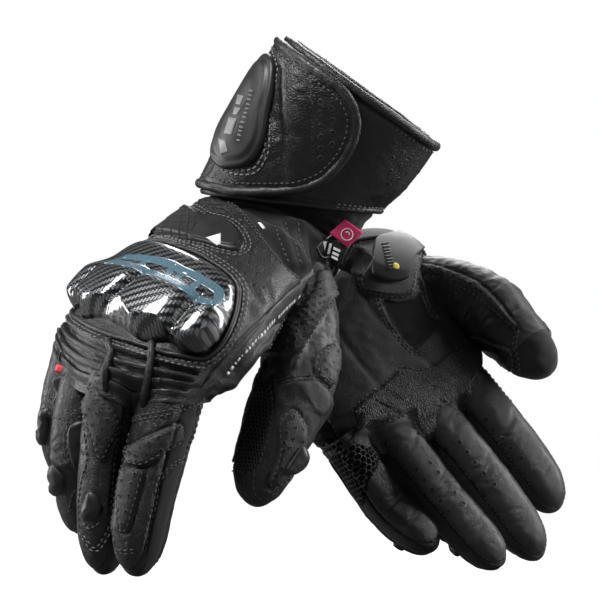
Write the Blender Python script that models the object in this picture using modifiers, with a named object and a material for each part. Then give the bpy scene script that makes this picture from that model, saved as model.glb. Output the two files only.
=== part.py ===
"""A pair of race-style motorcycle riding gloves.

The pair stands on its fingertips, cuffs up (+Z).  The right glove is in front
(-Y) and shows the back of the hand to -Y; the left glove behind it (+Y) shows
its palm to -Y.  Every stitched-on piece, moulded slider, strap and finger
section is its own closed solid.

All sizes are millimetres; to_scene() turns them into scene metres.
Surfaces are addressed by (x, phi): x counts stations along a sleeve or finger,
phi is the angle round it: 0 index side, 90 back, 180 little finger side, 270 palm.
"""
import math
from typing import NamedTuple

import bmesh
import bpy
from mathutils import Matrix, Vector

MM = 0.001
ORIGIN_SHIFT = Vector((-6.084, -50.459, 1.584))   # from the tables' frame to the scene's

# ---------------------------------------------------------------- dimensions
LEATHER = 1.6             # wall of a finger or thumb section
HAND_WALL = 1.8           # wall of the hand shell
CUFF_WALL = 2.4           # padded wall of the gauntlet cuff
NEST_GAP = 0.55           # clearance between nested sections
PATCH_GAP = 1.0           # usual clearance under a stitched-on piece
LIP_MARGIN = 0.9          # extra cut where a lip clears a bending section
FREE_BEND = 12.0          # degrees a section bends before its lip needs a cut
CORE_GROWTH = 0.42        # the hand cutter stands this far outside the shell
HOLE_GROWTH = 0.3         # the thumb hole cutter stands this far outside the gusset
CUFF_ROUNDNESS = 2.1      # superellipse exponent of the cuff section

FINGER_SIDES = 12
THUMB_SIDES = 14
HAND_SIDES = 24
CUFF_SIDES = 28

# places of the lofted rings, in stations
HAND_RINGS = (0.0, 0.55, 1.0, 1.6, 2.3, 3.0, 3.7, 4.4, 5.0, 5.5, 6.0)
CUFF_RINGS = (0.0, 0.5, 1.0, 1.5, 2.0)
THUMB_LIP = 2.0           # the gusset ends and the thumb base starts here
THUMB_JOINT = 3.0         # the thumb base ends and the thumb tip starts here
GUSSET_RINGS = (0.0, 0.5, 1.0, 1.5, THUMB_LIP)

# half width, half depth at the root of each finger
FINGER_SIZE = {
    "index": (12.9, 13.2), "middle": (12.4, 13.0),
    "ring": (11.7, 12.2), "pinky": (10.9, 11.2),
}
# half width, half depth as fractions of the root, at the four finger stations
FINGER_TAPER = ((1.0, 1.0), (1.0, 0.99), (0.97, 0.95), (0.80, 0.78))
# half width, half depth at the six thumb stations
THUMB_SIZES = [(15.0, 14.0), (18.0, 15.0), (19.0, 16.0), (16.4, 14.6), (14.0, 12.8), (10.0, 9.5)]


class Station(NamedTuple):
    """One cross section of a hand or cuff."""
    centre: tuple
    across: tuple            # from the little finger side to the index side
    along: tuple             # from the wrist side towards the fingers
    half_width: float
    half_depth: float
    slant: float = 0.0       # shift along, growing towards the index side
    bow: float = 0.0         # shift along of both sides
    arch: float = 0.0        # rise of the middle towards the back
    skew: float = 0.0        # rise of the index side towards the back
    roundness: float = CUFF_ROUNDNESS
    hollow: float = 0.0      # part of the arch that the palm follows


# "bend" is how far each joint can bend from this pose, in degrees.
# Finger rows: root joint, middle joint, last bend, fingertip.
# Hand rows run from wrist to finger roots, cuff rows from wrist to open end.
RIGHT = {
    "finger_across": (0.78, -0.60, -0.18),
    "heel_arc": (226, 280), "insert_arc": (236, 284),
    "palm_cut": 4.5, "back_cut": 3.5,
    "bend": {"finger_tip": 60.0, "thumb": 22.0, "thumb_tip": 35.0},
    "fingers": {
        "index": [(-59.2, -74.7, 80.7), (-66.1, -76.0, 55.2),
                  (-72.1, -75.9, 28.9), (-75.1, -72.3, 0.0)],
        "middle": [(-84.5, -66.5, 86.7), (-88.5, -63.4, 58.7),
                   (-90.9, -57.8, 29.6), (-91.6, -51.2, 0.0)],
        "ring": [(-99.1, -47.2, 95.3), (-105.0, -45.9, 65.3),
                 (-104.4, -38.0, 41.4), (-103.7, -31.0, 18.0)],
        "pinky": [(-107.5, -23.1, 106.4), (-113.2, -23.9, 83.9),
                  (-114.6, -20.4, 66.4), (-114.3, -15.0, 46.0)],
    },
    # centre, across, along,
    #     half width, half depth, slant, bow, arch, skew, roundness, hollow
    "hand": [
        Station((-4.0, 5.5, 183.0), (0.92, -0.12, -0.37), (-0.42, -0.02, -0.91),
                30.0, 21.0, 0.0, 0.0, 0.0, 0.0, 2.2, 0.5),
        Station((-9.5, 2.6, 171.5), (0.93, -0.20, -0.31), (-0.50, -0.30, -0.82),
                33.5, 23.5, 0.0, 0.0, 0.0, 0.0, 2.3, 0.5),
        Station((-25.0, -8.0, 157.0), (0.88, -0.40, -0.26), (-0.66, -0.46, -0.60),
                40.0, 22.5, 0.0, 0.0, 1.5, 0.0, 2.4, 0.5),
        Station((-44.0, -26.0, 138.0), (0.80, -0.56, -0.22), (-0.68, -0.48, -0.55),
                47.0, 20.0, 2.0, -2.0, 5.0, 0.0, 2.6, 0.5),
        Station((-60.0, -40.0, 116.5), (0.76, -0.62, -0.20), (-0.50, -0.24, -0.83),
                50.5, 19.5, 3.0, -3.0, 9.0, 1.0, 2.9, 0.5),
        Station((-70.0, -41.0, 101.5), (0.77, -0.61, -0.19), (-0.27, 0.04, -0.96),
                51.0, 18.8, 4.0, -5.0, 17.0, 4.0, 3.4, 0.4),
        Station((-76.7, -38.7, 89.8), (0.78, -0.60, -0.18), (-0.20, 0.14, -0.97),
                54.8, 20.9, 5.3, -6.9, 25.5, 7.3, 4.0, 0.75),
    ],
    "thumb": [(0.0, -15.0, 143.0), (1.0, -24.0, 118.0), (-1.4, -34.0, 92.2),
              (-10.5, -44.0, 67.7), (-17.1, -48.0, 50.0), (-22.3, -50.0, 32.0)],
    "thumb_across": (0.90, 0.25, -0.37),
    "wrist": (-12.0, 4.0, 177.0),
    # centre, across, along, half width, half depth, slant
    "cuff": [
        Station((-4.0, 4.0, 184.5), (0.87, 0.00, -0.39), (-0.40, 0.18, -0.90),
                43.5, 31.5, -13.0),
        Station((12.0, -3.5, 208.5), (0.84, 0.00, -0.54), (-0.52, 0.20, -0.83),
                44.5, 34.0, -6.0),
        Station((31.0, -12.0, 236.5), (0.79, 0.00, -0.61), (-0.58, 0.20, -0.79),
                46.0, 37.0),
    ],
}

LEFT = {
    "finger_across": (0.70, 0.44, 0.56),
    "heel_arc": (256, 303), "insert_arc": (262, 303),
    "palm_cut": 11.5, "back_cut": 1.0,
    "bend": {"finger_tip": 75.0, "thumb": 30.0, "thumb_tip": 45.0},
    "fingers": {
        "index": [(87.7, 56.8, 91.3), (107.1, 55.5, 68.0),
                  (121.6, 56.4, 48.5), (134.4, 59.0, 28.3)],
        "middle": [(71.7, 46.5, 73.5), (92.6, 45.9, 47.8),
                   (109.0, 46.8, 25.9), (124.1, 49.0, 3.7)],
        "ring": [(50.8, 37.6, 62.8), (70.6, 37.9, 37.9),
                 (88.1, 36.4, 17.2), (103.0, 35.0, 0.0)],
        "pinky": [(27.8, 30.0, 56.5), (44.0, 33.5, 32.2),
                  (55.7, 30.9, 20.9), (69.5, 24.4, 10.4)],
    },
    "hand": [
        Station((22.0, 115.0, 156.0), (0.88, 0.44, 0.16), (0.46, -0.87, -0.06),
                33.0, 21.0, 0.0, 0.0, 0.0, 0.0, 2.2, 0.5),
        Station((30.5, 101.0, 156.5), (0.88, 0.36, 0.26), (0.36, -0.80, -0.44),
                36.0, 23.5, 0.0, 0.0, 0.0, 0.0, 2.3, 0.5),
        Station((36.0, 83.0, 144.0), (0.86, 0.30, 0.36), (0.14, -0.52, -0.85),
                41.0, 22.5, 0.0, 0.0, 0.0, 0.0, 2.4, 0.5),
        Station((39.0, 69.0, 122.0), (0.79, 0.34, 0.46), (0.25, -0.38, -0.88),
                47.0, 20.0, 2.0, -2.0, 0.0, 0.0, 2.6, 0.5),
        Station((47.0, 56.0, 98.5), (0.74, 0.40, 0.52), (0.40, -0.24, -0.88),
                50.5, 19.5, 3.0, -7.0, 0.0, 0.0, 2.9, 0.5),
        Station((54.5, 49.5, 83.0), (0.71, 0.43, 0.56), (0.50, -0.08, -0.85),
                51.0, 18.0, 4.0, -11.0, -1.5, -2.5, 3.4, 0.8),
        Station((62.3, 45.8, 67.8), (0.70, 0.44, 0.56), (0.57, 0.07, -0.81),
                51.3, 17.0, 5.1, -14.8, -3.4, -4.8, 4.0, 1.0),
    ],
    "thumb": [(58.0, 88.0, 150.0), (77.0, 78.0, 146.5), (98.0, 67.0, 136.5),
              (111.0, 58.0, 123.0), (120.5, 51.0, 111.5), (132.0, 46.0, 100.5)],
    "thumb_across": (0.60, 0.10, 0.79),
    "wrist": (26.0, 106.0, 156.0),
    "cuff": [
        Station((19.0, 114.0, 154.0), (0.86, 0.46, 0.15), (0.46, -0.87, -0.12),
                42.5, 31.5, -13.0),
        Station((6.0, 138.0, 159.0), (0.86, 0.46, 0.19), (0.47, -0.86, -0.16),
                44.5, 34.0, -6.0),
        Station((-14.0, 173.0, 166.5), (0.86, 0.45, 0.22), (0.48, -0.85, -0.18),
                46.0, 37.0),
    ],
}

# ----------------------------------------------------------------- materials
FINISHES = {
    "leather": dict(colour=(0.022, 0.022, 0.024), roughness=0.48),
    "stretch": dict(colour=(0.016, 0.016, 0.017), roughness=0.85),
    "suede": dict(colour=(0.020, 0.020, 0.021), roughness=0.92),
    "moulded": dict(colour=(0.045, 0.045, 0.048), roughness=0.38),
    "carbon": dict(colour=(0.030, 0.031, 0.034), roughness=0.12, metallic=0.2, coat=1.0),
    "mesh": dict(colour=(0.024, 0.024, 0.025), roughness=0.7),
    "webbing": dict(colour=(0.014, 0.014, 0.015), roughness=0.8),
    "wire": dict(colour=(0.03, 0.03, 0.032), roughness=0.3, metallic=0.8),
}


def make_material(name, colour, roughness, metallic=0.0, coat=0.0):
    material = bpy.data.materials.new(name)
    material.use_nodes = True
    shader = material.node_tree.nodes["Principled BSDF"]
    shader.inputs["Base Color"].default_value = (*colour, 1.0)
    shader.inputs["Roughness"].default_value = roughness
    shader.inputs["Metallic"].default_value = metallic
    shader.inputs["Coat Weight"].default_value = coat
    material.diffuse_color = (*colour, 1.0)
    return material


def own_material(finish, piece_name):
    return make_material(piece_name + "_material", **FINISHES[finish])


# ------------------------------------------------------------ surface maths
def to_scene(point):
    return (Vector(point) + ORIGIN_SHIFT) * MM


def catmull(values, x):
    """Smooth interpolation through evenly spaced values (floats or vectors)."""
    last = len(values) - 1
    x = min(max(x, 0.0), float(last))
    i = min(int(x), last - 1)
    f = x - i
    start, end = values[i], values[i + 1]
    before = values[i - 1] if i > 0 else start * 2.0 - end
    after = values[i + 2] if i + 2 <= last else end * 2.0 - start
    return (start * 2.0 + (end - before) * f
            + (before * 2.0 - start * 5.0 + end * 4.0 - after) * f * f
            + (start * 3.0 - before - end * 3.0 + after) * f ** 3) * 0.5


def signed_power(value, exponent):
    return math.copysign(abs(value) ** exponent, value)


def ring_angles(count):
    return [2.0 * math.pi * j / count for j in range(count)]


def square_to(along, across):
    """Unit vector nearest to across that is square to along."""
    return (across - along * across.dot(along)).normalized()


def lip_relief(half_depth, degrees):
    """How far a lip is cut back so a nested sleeve can bend by this angle."""
    if degrees <= FREE_BEND:
        return 0.0
    bend = math.radians(degrees)
    reach = (half_depth + NEST_GAP - half_depth * math.cos(bend)) / math.sin(bend)
    return max(0.0, half_depth * math.sin(bend) - reach * math.cos(bend)) + LIP_MARGIN


class Surface:
    """Something pieces can be laid on; subclasses give point() and normal()."""

    def above(self, x, phi, height):
        return self.point(x, phi) + self.normal(x, phi) * height


class Sleeve(Surface):
    """A hand or cuff, lofted through stations with superellipse sections."""

    def __init__(self, stations, sign, palm_cut=0.0, back_cut=0.0):
        self.stations = stations
        self.sign = sign
        self.palm_cut = palm_cut
        self.back_cut = back_cut
        self.top = len(stations) - 1
        self.centres = [Vector(s.centre) for s in stations]
        self.acrosses = [Vector(s.across).normalized() for s in stations]
        self.alongs = [Vector(s.along).normalized() for s in stations]

    def value(self, field, x):
        return catmull([getattr(s, field) for s in self.stations], x)

    def centre(self, x):
        return catmull(self.centres, x)

    def frame(self, x):
        """Directions at x: across, along and towards the back of the hand."""
        along = catmull(self.alongs, x).normalized()
        across = square_to(along, catmull(self.acrosses, x))
        return across, along, across.cross(along) * self.sign

    def point(self, x, phi):
        across, along, back = self.frame(x)
        exponent = 2.0 / self.value("roundness", x)
        side = signed_power(math.cos(phi), exponent)
        height = signed_power(math.sin(phi), exponent)
        arch = self.value("arch", x)
        if height < 0.0:  # the palm follows only part of the arch
            arch *= 1.0 + height * (1.0 - self.value("hollow", x))
        rise = (self.value("half_depth", x) * height + arch * (1.0 - side * side)
                + self.value("skew", x) * side)
        shift = (self.value("slant", x) * side + self.value("bow", x) * side * side
                 - self.relief(x, math.sin(phi)))
        return (self.centre(x) + across * (self.value("half_width", x) * side)
                + back * rise + along * shift)

    def relief(self, x, height):
        """Cut back the last stretch of the palm side and of the back."""
        share = max(0.0, x - self.top + 1.0)
        cut = self.palm_cut if height < 0.0 else self.back_cut
        return share * cut * min(1.0, abs(height) * 2.2) ** 1.2

    def normal(self, x, phi):
        step_x = 0.02
        step_phi = 0.12  # wide, to keep the direction sane at the flat sides
        along = (self.point(min(x + step_x, self.top), phi)
                 - self.point(max(x - step_x, 0.0), phi))
        around = self.point(x, phi + step_phi) - self.point(x, phi - step_phi)
        normal = along.cross(around).normalized()
        outward = normal.dot(self.point(x, phi) - self.centre(x)) > 0.0
        return normal if outward else -normal

    def ring(self, x, sides):
        return [self.point(x, phi) for phi in ring_angles(sides)]


class Tube(Surface):
    """A finger or thumb: an elliptical tube along a smooth path."""

    def __init__(self, points, across, sign, sizes):
        self.points = [Vector(point) for point in points]
        self.across = Vector(across).normalized()
        self.sign = sign
        self.sizes = sizes

    def scaled(self, scale):
        sizes = [(width * scale, depth * scale) for width, depth in self.sizes]
        return Tube(self.points, self.across, self.sign, sizes)

    def centre(self, x):
        return catmull(self.points, x)

    def frame(self, x):
        """Directions at x: across, along and towards the back of the hand."""
        step = 0.03
        ahead = self.centre(min(x + step, len(self.points) - 1))
        along = (ahead - self.centre(max(x - step, 0.0))).normalized()
        across = square_to(along, self.across)
        return across, along, across.cross(along) * self.sign

    def size(self, x):
        """Half width and half depth at x."""
        return (catmull([size[0] for size in self.sizes], x),
                catmull([size[1] for size in self.sizes], x))

    def point(self, x, phi, scale=1.0, grow=0.0, shift=0.0):
        across, along, back = self.frame(x)
        width, depth = self.size(x)
        return (self.centre(x) + across * ((width * scale + grow) * math.cos(phi))
                + back * ((depth * scale + grow) * math.sin(phi)) + along * shift)

    def normal(self, x, phi):
        across, _, back = self.frame(x)
        width, depth = self.size(x)
        return (across * (math.cos(phi) / width) + back * (math.sin(phi) / depth)).normalized()

    def ring(self, x, sides, scale=1.0, grow=0.0, shift=0.0, palm_cut=0.0):
        """A ring at x; palm_cut pulls its palm side back towards the root."""
        return [self.point(x, phi, scale, grow,
                           shift - palm_cut * max(0.0, -math.sin(phi)) ** 1.3)
                for phi in ring_angles(sides)]

    def nested_half_depth(self, x, outer_scale=1.0):
        """Half depth left inside a section of this tube."""
        return self.size(x)[1] * outer_scale - LEATHER - NEST_GAP

    def nested_scale(self, x, outer_scale=1.0):
        """Scale at which the next section fits inside one of outer_scale."""
        return min((half * outer_scale - LEATHER - NEST_GAP) / half for half in self.size(x))

    def section_rings(self, start, end, steps, sides, scale=1.0, palm_cut=0.0):
        """Rings of a section, led by a rounded start that nests in the one before."""
        start_depth = self.size(start)[1] * scale
        rings = [self.ring(start, sides, scale * math.sqrt(1.0 - fraction * fraction),
                           shift=-fraction * start_depth)
                 for fraction in (0.72, 0.40)]
        for i in range(steps + 1):
            x = start + (end - start) * i / steps
            rings.append(self.ring(x, sides, scale, palm_cut=palm_cut if i == steps else 0.0))
        return rings


# ----------------------------------------------------------- building meshes
def finish_mesh(name, bm):
    bmesh.ops.recalc_face_normals(bm, faces=bm.faces)
    mesh = bpy.data.meshes.new(name)
    bm.to_mesh(mesh)
    bm.free()
    return mesh


def add_vertices(bm, grid):
    return [[bm.verts.new(to_scene(point)) for point in line] for line in grid]


def loft(name, rings, start_pole=None, end_pole=None, cyclic=True):
    """Loft between rings; a pole closes an end when one is given."""
    bm = bmesh.new()
    rows = add_vertices(bm, rings)
    count = len(rows[0])
    for row, next_row in zip(rows, rows[1:]):
        for j in range(count if cyclic else count - 1):
            k = (j + 1) % count
            bm.faces.new((row[j], next_row[j], next_row[k], row[k]))
    if start_pole is not None:
        pole = bm.verts.new(to_scene(start_pole))
        for j in range(count):
            bm.faces.new((pole, rows[0][j], rows[0][(j + 1) % count]))
    if end_pole is not None:
        pole = bm.verts.new(to_scene(end_pole))
        for j in range(count):
            bm.faces.new((rows[-1][j], pole, rows[-1][(j + 1) % count]))
    return finish_mesh(name, bm)


def face_outward(mesh, inside):
    """Turn a surface so its normals point away from a point inside it."""
    inside = to_scene(inside)
    total = sum((f.center - inside).dot(f.normal) * f.area for f in mesh.polygons)
    if total < 0.0:
        mesh.flip_normals()


def face_along(mesh, direction):
    total = Vector((0.0, 0.0, 0.0))
    for face in mesh.polygons:
        total += face.normal * face.area
    if total.dot(direction) < 0.0:
        mesh.flip_normals()


def middle_of(rows):
    """The (x, phi) in the middle of a patch given as (x, from, to) rows."""
    x, phi_from, phi_to = rows[len(rows) // 2]
    return x, math.radians((phi_from + phi_to) / 2.0)


def block_mesh(name, host, rows, columns, gap, rim, height):
    """A block whose base follows the host and whose top is one flat face."""
    middle = middle_of(rows)
    normal = host.normal(*middle)
    plane = host.point(*middle) + normal * (gap + height)
    last_i, last_j = len(rows) - 1, columns - 1
    base, top = [], []
    for i, (x, phi_from, phi_to) in enumerate(rows):
        base_line, top_line = [], []
        for j in range(columns):
            phi = math.radians(phi_from + (phi_to - phi_from) * j / last_j)
            local_normal = host.normal(x, phi)
            point = host.point(x, phi) + local_normal * gap
            base_line.append(point)
            if 0 < i < last_i and 0 < j < last_j:
                top_line.append(point + normal * (plane - point).dot(normal))
            else:
                top_line.append(point + local_normal * rim)
        base.append(base_line)
        top.append(top_line)

    bm = bmesh.new()
    lower = add_vertices(bm, base)
    upper = add_vertices(bm, top)
    for i in range(last_i):
        for j in range(last_j):
            bm.faces.new((lower[i][j], lower[i + 1][j], lower[i + 1][j + 1], lower[i][j + 1]))
            bm.faces.new((upper[i][j], upper[i][j + 1], upper[i + 1][j + 1], upper[i + 1][j]))
    border = ([(0, j) for j in range(last_j)]
              + [(i, last_j) for i in range(last_i)]
              + [(last_i, j) for j in range(last_j, 0, -1)]
              + [(i, 0) for i in range(last_i, 0, -1)])
    for (i0, j0), (i1, j1) in zip(border, border[1:] + border[:1]):
        bm.faces.new((lower[i0][j0], lower[i1][j1], upper[i1][j1], upper[i0][j0]))
    return finish_mesh(name, bm)


# ---------------------------------------------------------- building objects
def new_collection(name):
    collection = bpy.data.collections.new(name)
    bpy.context.scene.collection.children.link(collection)
    return collection


def add_object(name, mesh, material, collection, origin):
    mesh.materials.append(material)
    mesh.transform(Matrix.Translation(-to_scene(origin)))
    obj = bpy.data.objects.new(name, mesh)
    collection.objects.link(obj)
    obj.location = to_scene(origin)
    return obj


def adopt(child, parent):
    bpy.context.view_layer.update()
    child.parent = parent
    child.matrix_parent_inverse = parent.matrix_world.inverted()


def add_axis(name, origin, parent=None):
    """An empty that marks a joint; uses the parent's matrix as last evaluated."""
    axis = bpy.data.objects.new(name, None)
    parts.objects.link(axis)
    axis.empty_display_size = 0.01
    axis.location = to_scene(origin)
    if parent is not None:
        axis.parent = parent
        axis.matrix_parent_inverse = parent.matrix_world.inverted()
    return axis


def add_piece(name, mesh, finish, origin, parent, wall=None, wall_side=-1.0):
    """A visible piece; wall_side -1 thickens it inwards, +1 outwards."""
    obj = add_object(name, mesh, own_material(finish, name), parts, origin)
    if wall is not None:
        modifier = obj.modifiers.new("wall", "SOLIDIFY")
        modifier.thickness = wall * MM
        modifier.offset = wall_side
        modifier.use_even_offset = False
    adopt(obj, parent)
    return obj


def add_shell(name, rings, inside, origin, parent, wall, end_pole=None):
    """A hollow leather section with its wall inside the lofted rings."""
    mesh = loft(name, rings, end_pole=end_pole)
    face_outward(mesh, inside)
    return add_piece(name, mesh, "leather", origin, parent, wall)


def add_patch(name, host, rows, columns, thickness, finish, origin, parent,
              gap=PATCH_GAP, lift=None):
    """A piece that follows its host, thickened outwards.

    rows holds (x, phi from, phi to), phi in degrees; lift(i, j) adds height,
    with i and j running from 0 to 1 over the rows and columns.
    """
    grid = []
    for i, (x, phi_from, phi_to) in enumerate(rows):
        line = []
        for j in range(columns):
            f = j / (columns - 1)
            phi = math.radians(phi_from + (phi_to - phi_from) * f)
            height = gap + (lift(i / (len(rows) - 1), f) if lift else 0.0)
            line.append(host.above(x, phi, height))
        grid.append(line)
    mesh = loft(name, grid, cyclic=False)
    face_along(mesh, host.normal(*middle_of(rows)))
    return add_piece(name, mesh, finish, origin, parent, thickness, wall_side=1.0)


def add_cutter(name, rings, start_pole, end_pole, inside, material, origin):
    mesh = loft(name, rings, start_pole, end_pole)
    face_outward(mesh, inside)
    cutter = add_object(name, mesh, material, cutters, origin)
    cutter.hide_render = True
    cutter.display_type = "WIRE"
    return cutter


def cut_away(obj, modifier_name, cutter):
    modifier = obj.modifiers.new(modifier_name, "BOOLEAN")
    modifier.operation = "DIFFERENCE"
    modifier.solver = "EXACT"
    modifier.object = cutter


def dome(height):
    """Lift for add_patch that rises to height in the middle."""
    return lambda i, j: height * math.sin(math.pi * i) * math.sin(math.pi * j)


# ------------------------------------------------------------------ a glove
class Glove:
    """The surfaces and main axes that the pieces of one glove share."""

    def __init__(self, side, sign, design):
        self.side = side
        self.sign = sign          # turns across x along towards the back of the hand
        self.design = design
        self.bend = design["bend"]
        self.wrist = design["wrist"]
        self.hand = Sleeve(design["hand"], sign, design["palm_cut"], design["back_cut"])
        self.cuff = Sleeve(design["cuff"], sign)
        self.thumb = Tube(design["thumb"], design["thumb_across"], sign, THUMB_SIZES)
        self.hand_frame = add_axis(self.name("hand_frame"), self.wrist)
        # The hand frame's matrix is not evaluated yet, so the wrist axis keeps an
        # identity parent inverse and its location is added to the hand frame's.
        self.wrist_axis = add_axis(self.name("wrist_axis"), self.wrist, self.hand_frame)

    def name(self, piece):
        return f"{self.side}_{piece}"


def build_hand_and_gusset(glove):
    """The hand shell with its thumb hole, and the sewn root of the thumb."""
    hand, thumb = glove.hand, glove.thumb
    shell = add_shell(glove.name("hand_shell"), [hand.ring(x, HAND_SIDES) for x in HAND_RINGS],
                      hand.centre(3.0), glove.wrist, glove.hand_frame, HAND_WALL)

    cutter_material = make_material(glove.name("leather"), **FINISHES["leather"])
    core_rings = [[point + (point - hand.centre(x)).normalized() * CORE_GROWTH
                   for point in hand.ring(x, HAND_SIDES)] for x in HAND_RINGS]
    core = add_cutter(glove.name("hand_core"), core_rings, hand.centre(0.0),
                      hand.centre(hand.top), hand.centre(3.0), cutter_material, glove.wrist)
    hole_rings = [thumb.ring(x, THUMB_SIDES, grow=HOLE_GROWTH) for x in GUSSET_RINGS]
    hole = add_cutter(glove.name("thumb_hole"), hole_rings, thumb.centre(0.0),
                      thumb.centre(THUMB_LIP), thumb.centre(1.0), cutter_material, glove.wrist)
    cut_away(shell, "thumb_hole", hole)

    lip_cut = lip_relief(thumb.nested_half_depth(THUMB_LIP), glove.bend["thumb"])
    rings = [thumb.ring(x, THUMB_SIDES, palm_cut=lip_cut if x == THUMB_LIP else 0.0)
             for x in GUSSET_RINGS]
    gusset = add_shell(glove.name("thumb_gusset"), rings, thumb.centre(1.0),
                       glove.design["thumb"][0], glove.hand_frame, LEATHER)
    cut_away(gusset, "hand", core)


def build_thumb(glove):
    """Two nested thumb sections and the slider on the tip."""
    thumb = glove.thumb
    lip, joint = thumb.centre(THUMB_LIP), thumb.centre(THUMB_JOINT)

    base_axis = add_axis(glove.name("thumb_base_axis"), lip, glove.hand_frame)
    base_scale = thumb.nested_scale(THUMB_LIP)
    palm_cut = lip_relief(thumb.nested_half_depth(THUMB_JOINT, base_scale),
                          glove.bend["thumb_tip"])
    rings = thumb.section_rings(THUMB_LIP, THUMB_JOINT, 2, THUMB_SIDES, base_scale, palm_cut)
    add_shell(glove.name("thumb_base"), rings, thumb.centre(2.5), lip, base_axis, LEATHER)

    tip_axis = add_axis(glove.name("thumb_tip_axis"), joint, base_axis)
    tip_scale = thumb.nested_scale(THUMB_JOINT, base_scale)
    rings = thumb.section_rings(THUMB_JOINT, 4.7, 3, THUMB_SIDES, tip_scale)
    rings.append(thumb.ring(4.92, THUMB_SIDES, tip_scale * 0.62))
    add_shell(glove.name("thumb_tip"), rings, thumb.centre(4.0), joint, tip_axis, LEATHER,
              end_pole=thumb.centre(5.0))

    rows = [(3.75, 62, 98), (3.95, 50, 104), (4.2, 50, 104), (4.4, 62, 98)]
    add_patch(glove.name("thumb_slider"), thumb.scaled(tip_scale), rows, columns=4,
              thickness=2.6, finish="moulded", origin=joint, parent=tip_axis, lift=dome(1.2))


def build_finger(glove, finger, points):
    """Two nested finger sections; all fingers but the index carry a slider."""
    name = glove.name(finger)
    root_width, root_depth = FINGER_SIZE[finger]
    tube = Tube(points, glove.design["finger_across"], glove.sign,
                [(root_width * width, root_depth * depth) for width, depth in FINGER_TAPER])
    root, joint = points[:2]

    base_axis = add_axis(name + "_base_axis", root, glove.hand_frame)
    palm_cut = lip_relief(tube.nested_half_depth(1.0), glove.bend["finger_tip"]) + 0.4
    rings = tube.section_rings(0.0, 1.0, 2, FINGER_SIDES, palm_cut=palm_cut)
    add_shell(name + "_base", rings, tube.centre(0.5), root, base_axis, LEATHER)

    tip_axis = add_axis(name + "_tip_axis", joint, base_axis)
    tip_scale = tube.nested_scale(0.0)
    rings = tube.section_rings(1.0, 2.62, 3, FINGER_SIDES, tip_scale)
    rings.append(tube.ring(2.88, FINGER_SIDES, tip_scale * 0.70))
    add_shell(name + "_tip", rings, tube.centre(2.0), joint, tip_axis, LEATHER,
              end_pole=tube.centre(3.0))

    if finger != "index":
        rows = [(1.95, 72, 108), (2.12, 52, 128), (2.36, 52, 128), (2.52, 72, 108)]
        add_patch(name + "_slider", tube.scaled(tip_scale), rows, columns=4, thickness=2.4,
                  finish="moulded", origin=joint, parent=tip_axis, gap=0.9, lift=dome(1.0))


def knuckle_bumps(i, j):
    """Lift of the knuckle guard: four bumps side by side, fading at the rim."""
    plateau, bump = 4.5, 5.5
    rim = min(1.0, 4.0 * i, 4.0 * (1.0 - i), 8.0 * j, 8.0 * (1.0 - j))
    wave = abs(math.sin(4.0 * math.pi * j)) ** 0.6
    growth = 0.35 + 0.65 * min(1.0, i * 1.6)   # low at the wrist end, then full
    return rim * (plateau + bump * wave * growth)


def add_hand_patch(glove, piece, rows, origin_x, origin_phi, **settings):
    origin = glove.hand.point(origin_x, origin_phi)
    add_patch(glove.name(piece), glove.hand, rows, origin=origin,
              parent=glove.hand_frame, **settings)


def build_back_pieces(glove):
    """Knuckle guard, plate and flex panel on the back of the hand."""
    back = math.pi / 2
    rows = [(3.30, 52, 118), (3.55, 40, 134), (3.85, 33, 147),
            (4.15, 30, 152), (4.42, 31, 153), (4.66, 36, 150)]
    add_hand_patch(glove, "knuckle_guard", rows, 4.0, back, columns=17, thickness=2.4,
                   finish="carbon", gap=1.6, lift=knuckle_bumps)

    rows = [(2.02, 90, 128), (2.25, 70, 146), (2.6, 60, 150), (2.95, 72, 138)]
    add_hand_patch(glove, "back_guard", rows, 2.5, back, columns=7, thickness=3.4,
                   finish="moulded", gap=1.4)

    # between the knuckle guard and the fingers
    rows = [(4.98, 38, 148), (5.22, 36, 150), (5.46, 38, 148)]
    add_hand_patch(glove, "flex_panel", rows, 5.2, back, columns=11, thickness=1.8,
                   finish="leather", gap=1.6)


def build_palm_pieces(glove):
    """Heel slider, grip patch and stretch insert of the palm."""
    palm = -math.pi / 2
    start, end = glove.design["heel_arc"]
    rows = [(1.42, start + 6, end - 5), (1.60, start, end), (1.85, start, end),
            (2.12, start, end), (2.35, start + 6, end - 5)]
    name = glove.name("palm_slider")
    mesh = block_mesh(name, glove.hand, rows, columns=6, gap=1.5, rim=1.6, height=2.8)
    add_piece(name, mesh, "moulded", glove.hand.point(1.9, palm), glove.hand_frame)

    rows = [(4.1, 236, 298), (4.4, 222, 308), (4.72, 216, 314), (5.0, 224, 310)]
    add_hand_patch(glove, "palm_grip_patch", rows, 4.8, palm, columns=12, thickness=1.6,
                   finish="suede", gap=2.0)

    start, end = glove.design["insert_arc"]
    rows = [(2.85, start + 8, end - 8), (3.3, start, end), (3.85, start + 4, end - 4)]
    add_hand_patch(glove, "palm_stretch_panel", rows, 3.5, palm, columns=5, thickness=1.4,
                   finish="stretch", gap=1.3)


def build_ulnar_panel(glove):
    """Mesh panel on the little finger side of the hand."""
    rows = [(3.3, 176, 210), (3.9, 170, 212), (4.5, 168, 208), (5.1, 170, 204)]
    add_hand_patch(glove, "ulnar_mesh_panel", rows, 4.2, math.pi, columns=6, thickness=1.4,
                   finish="mesh", gap=1.3)


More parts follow.
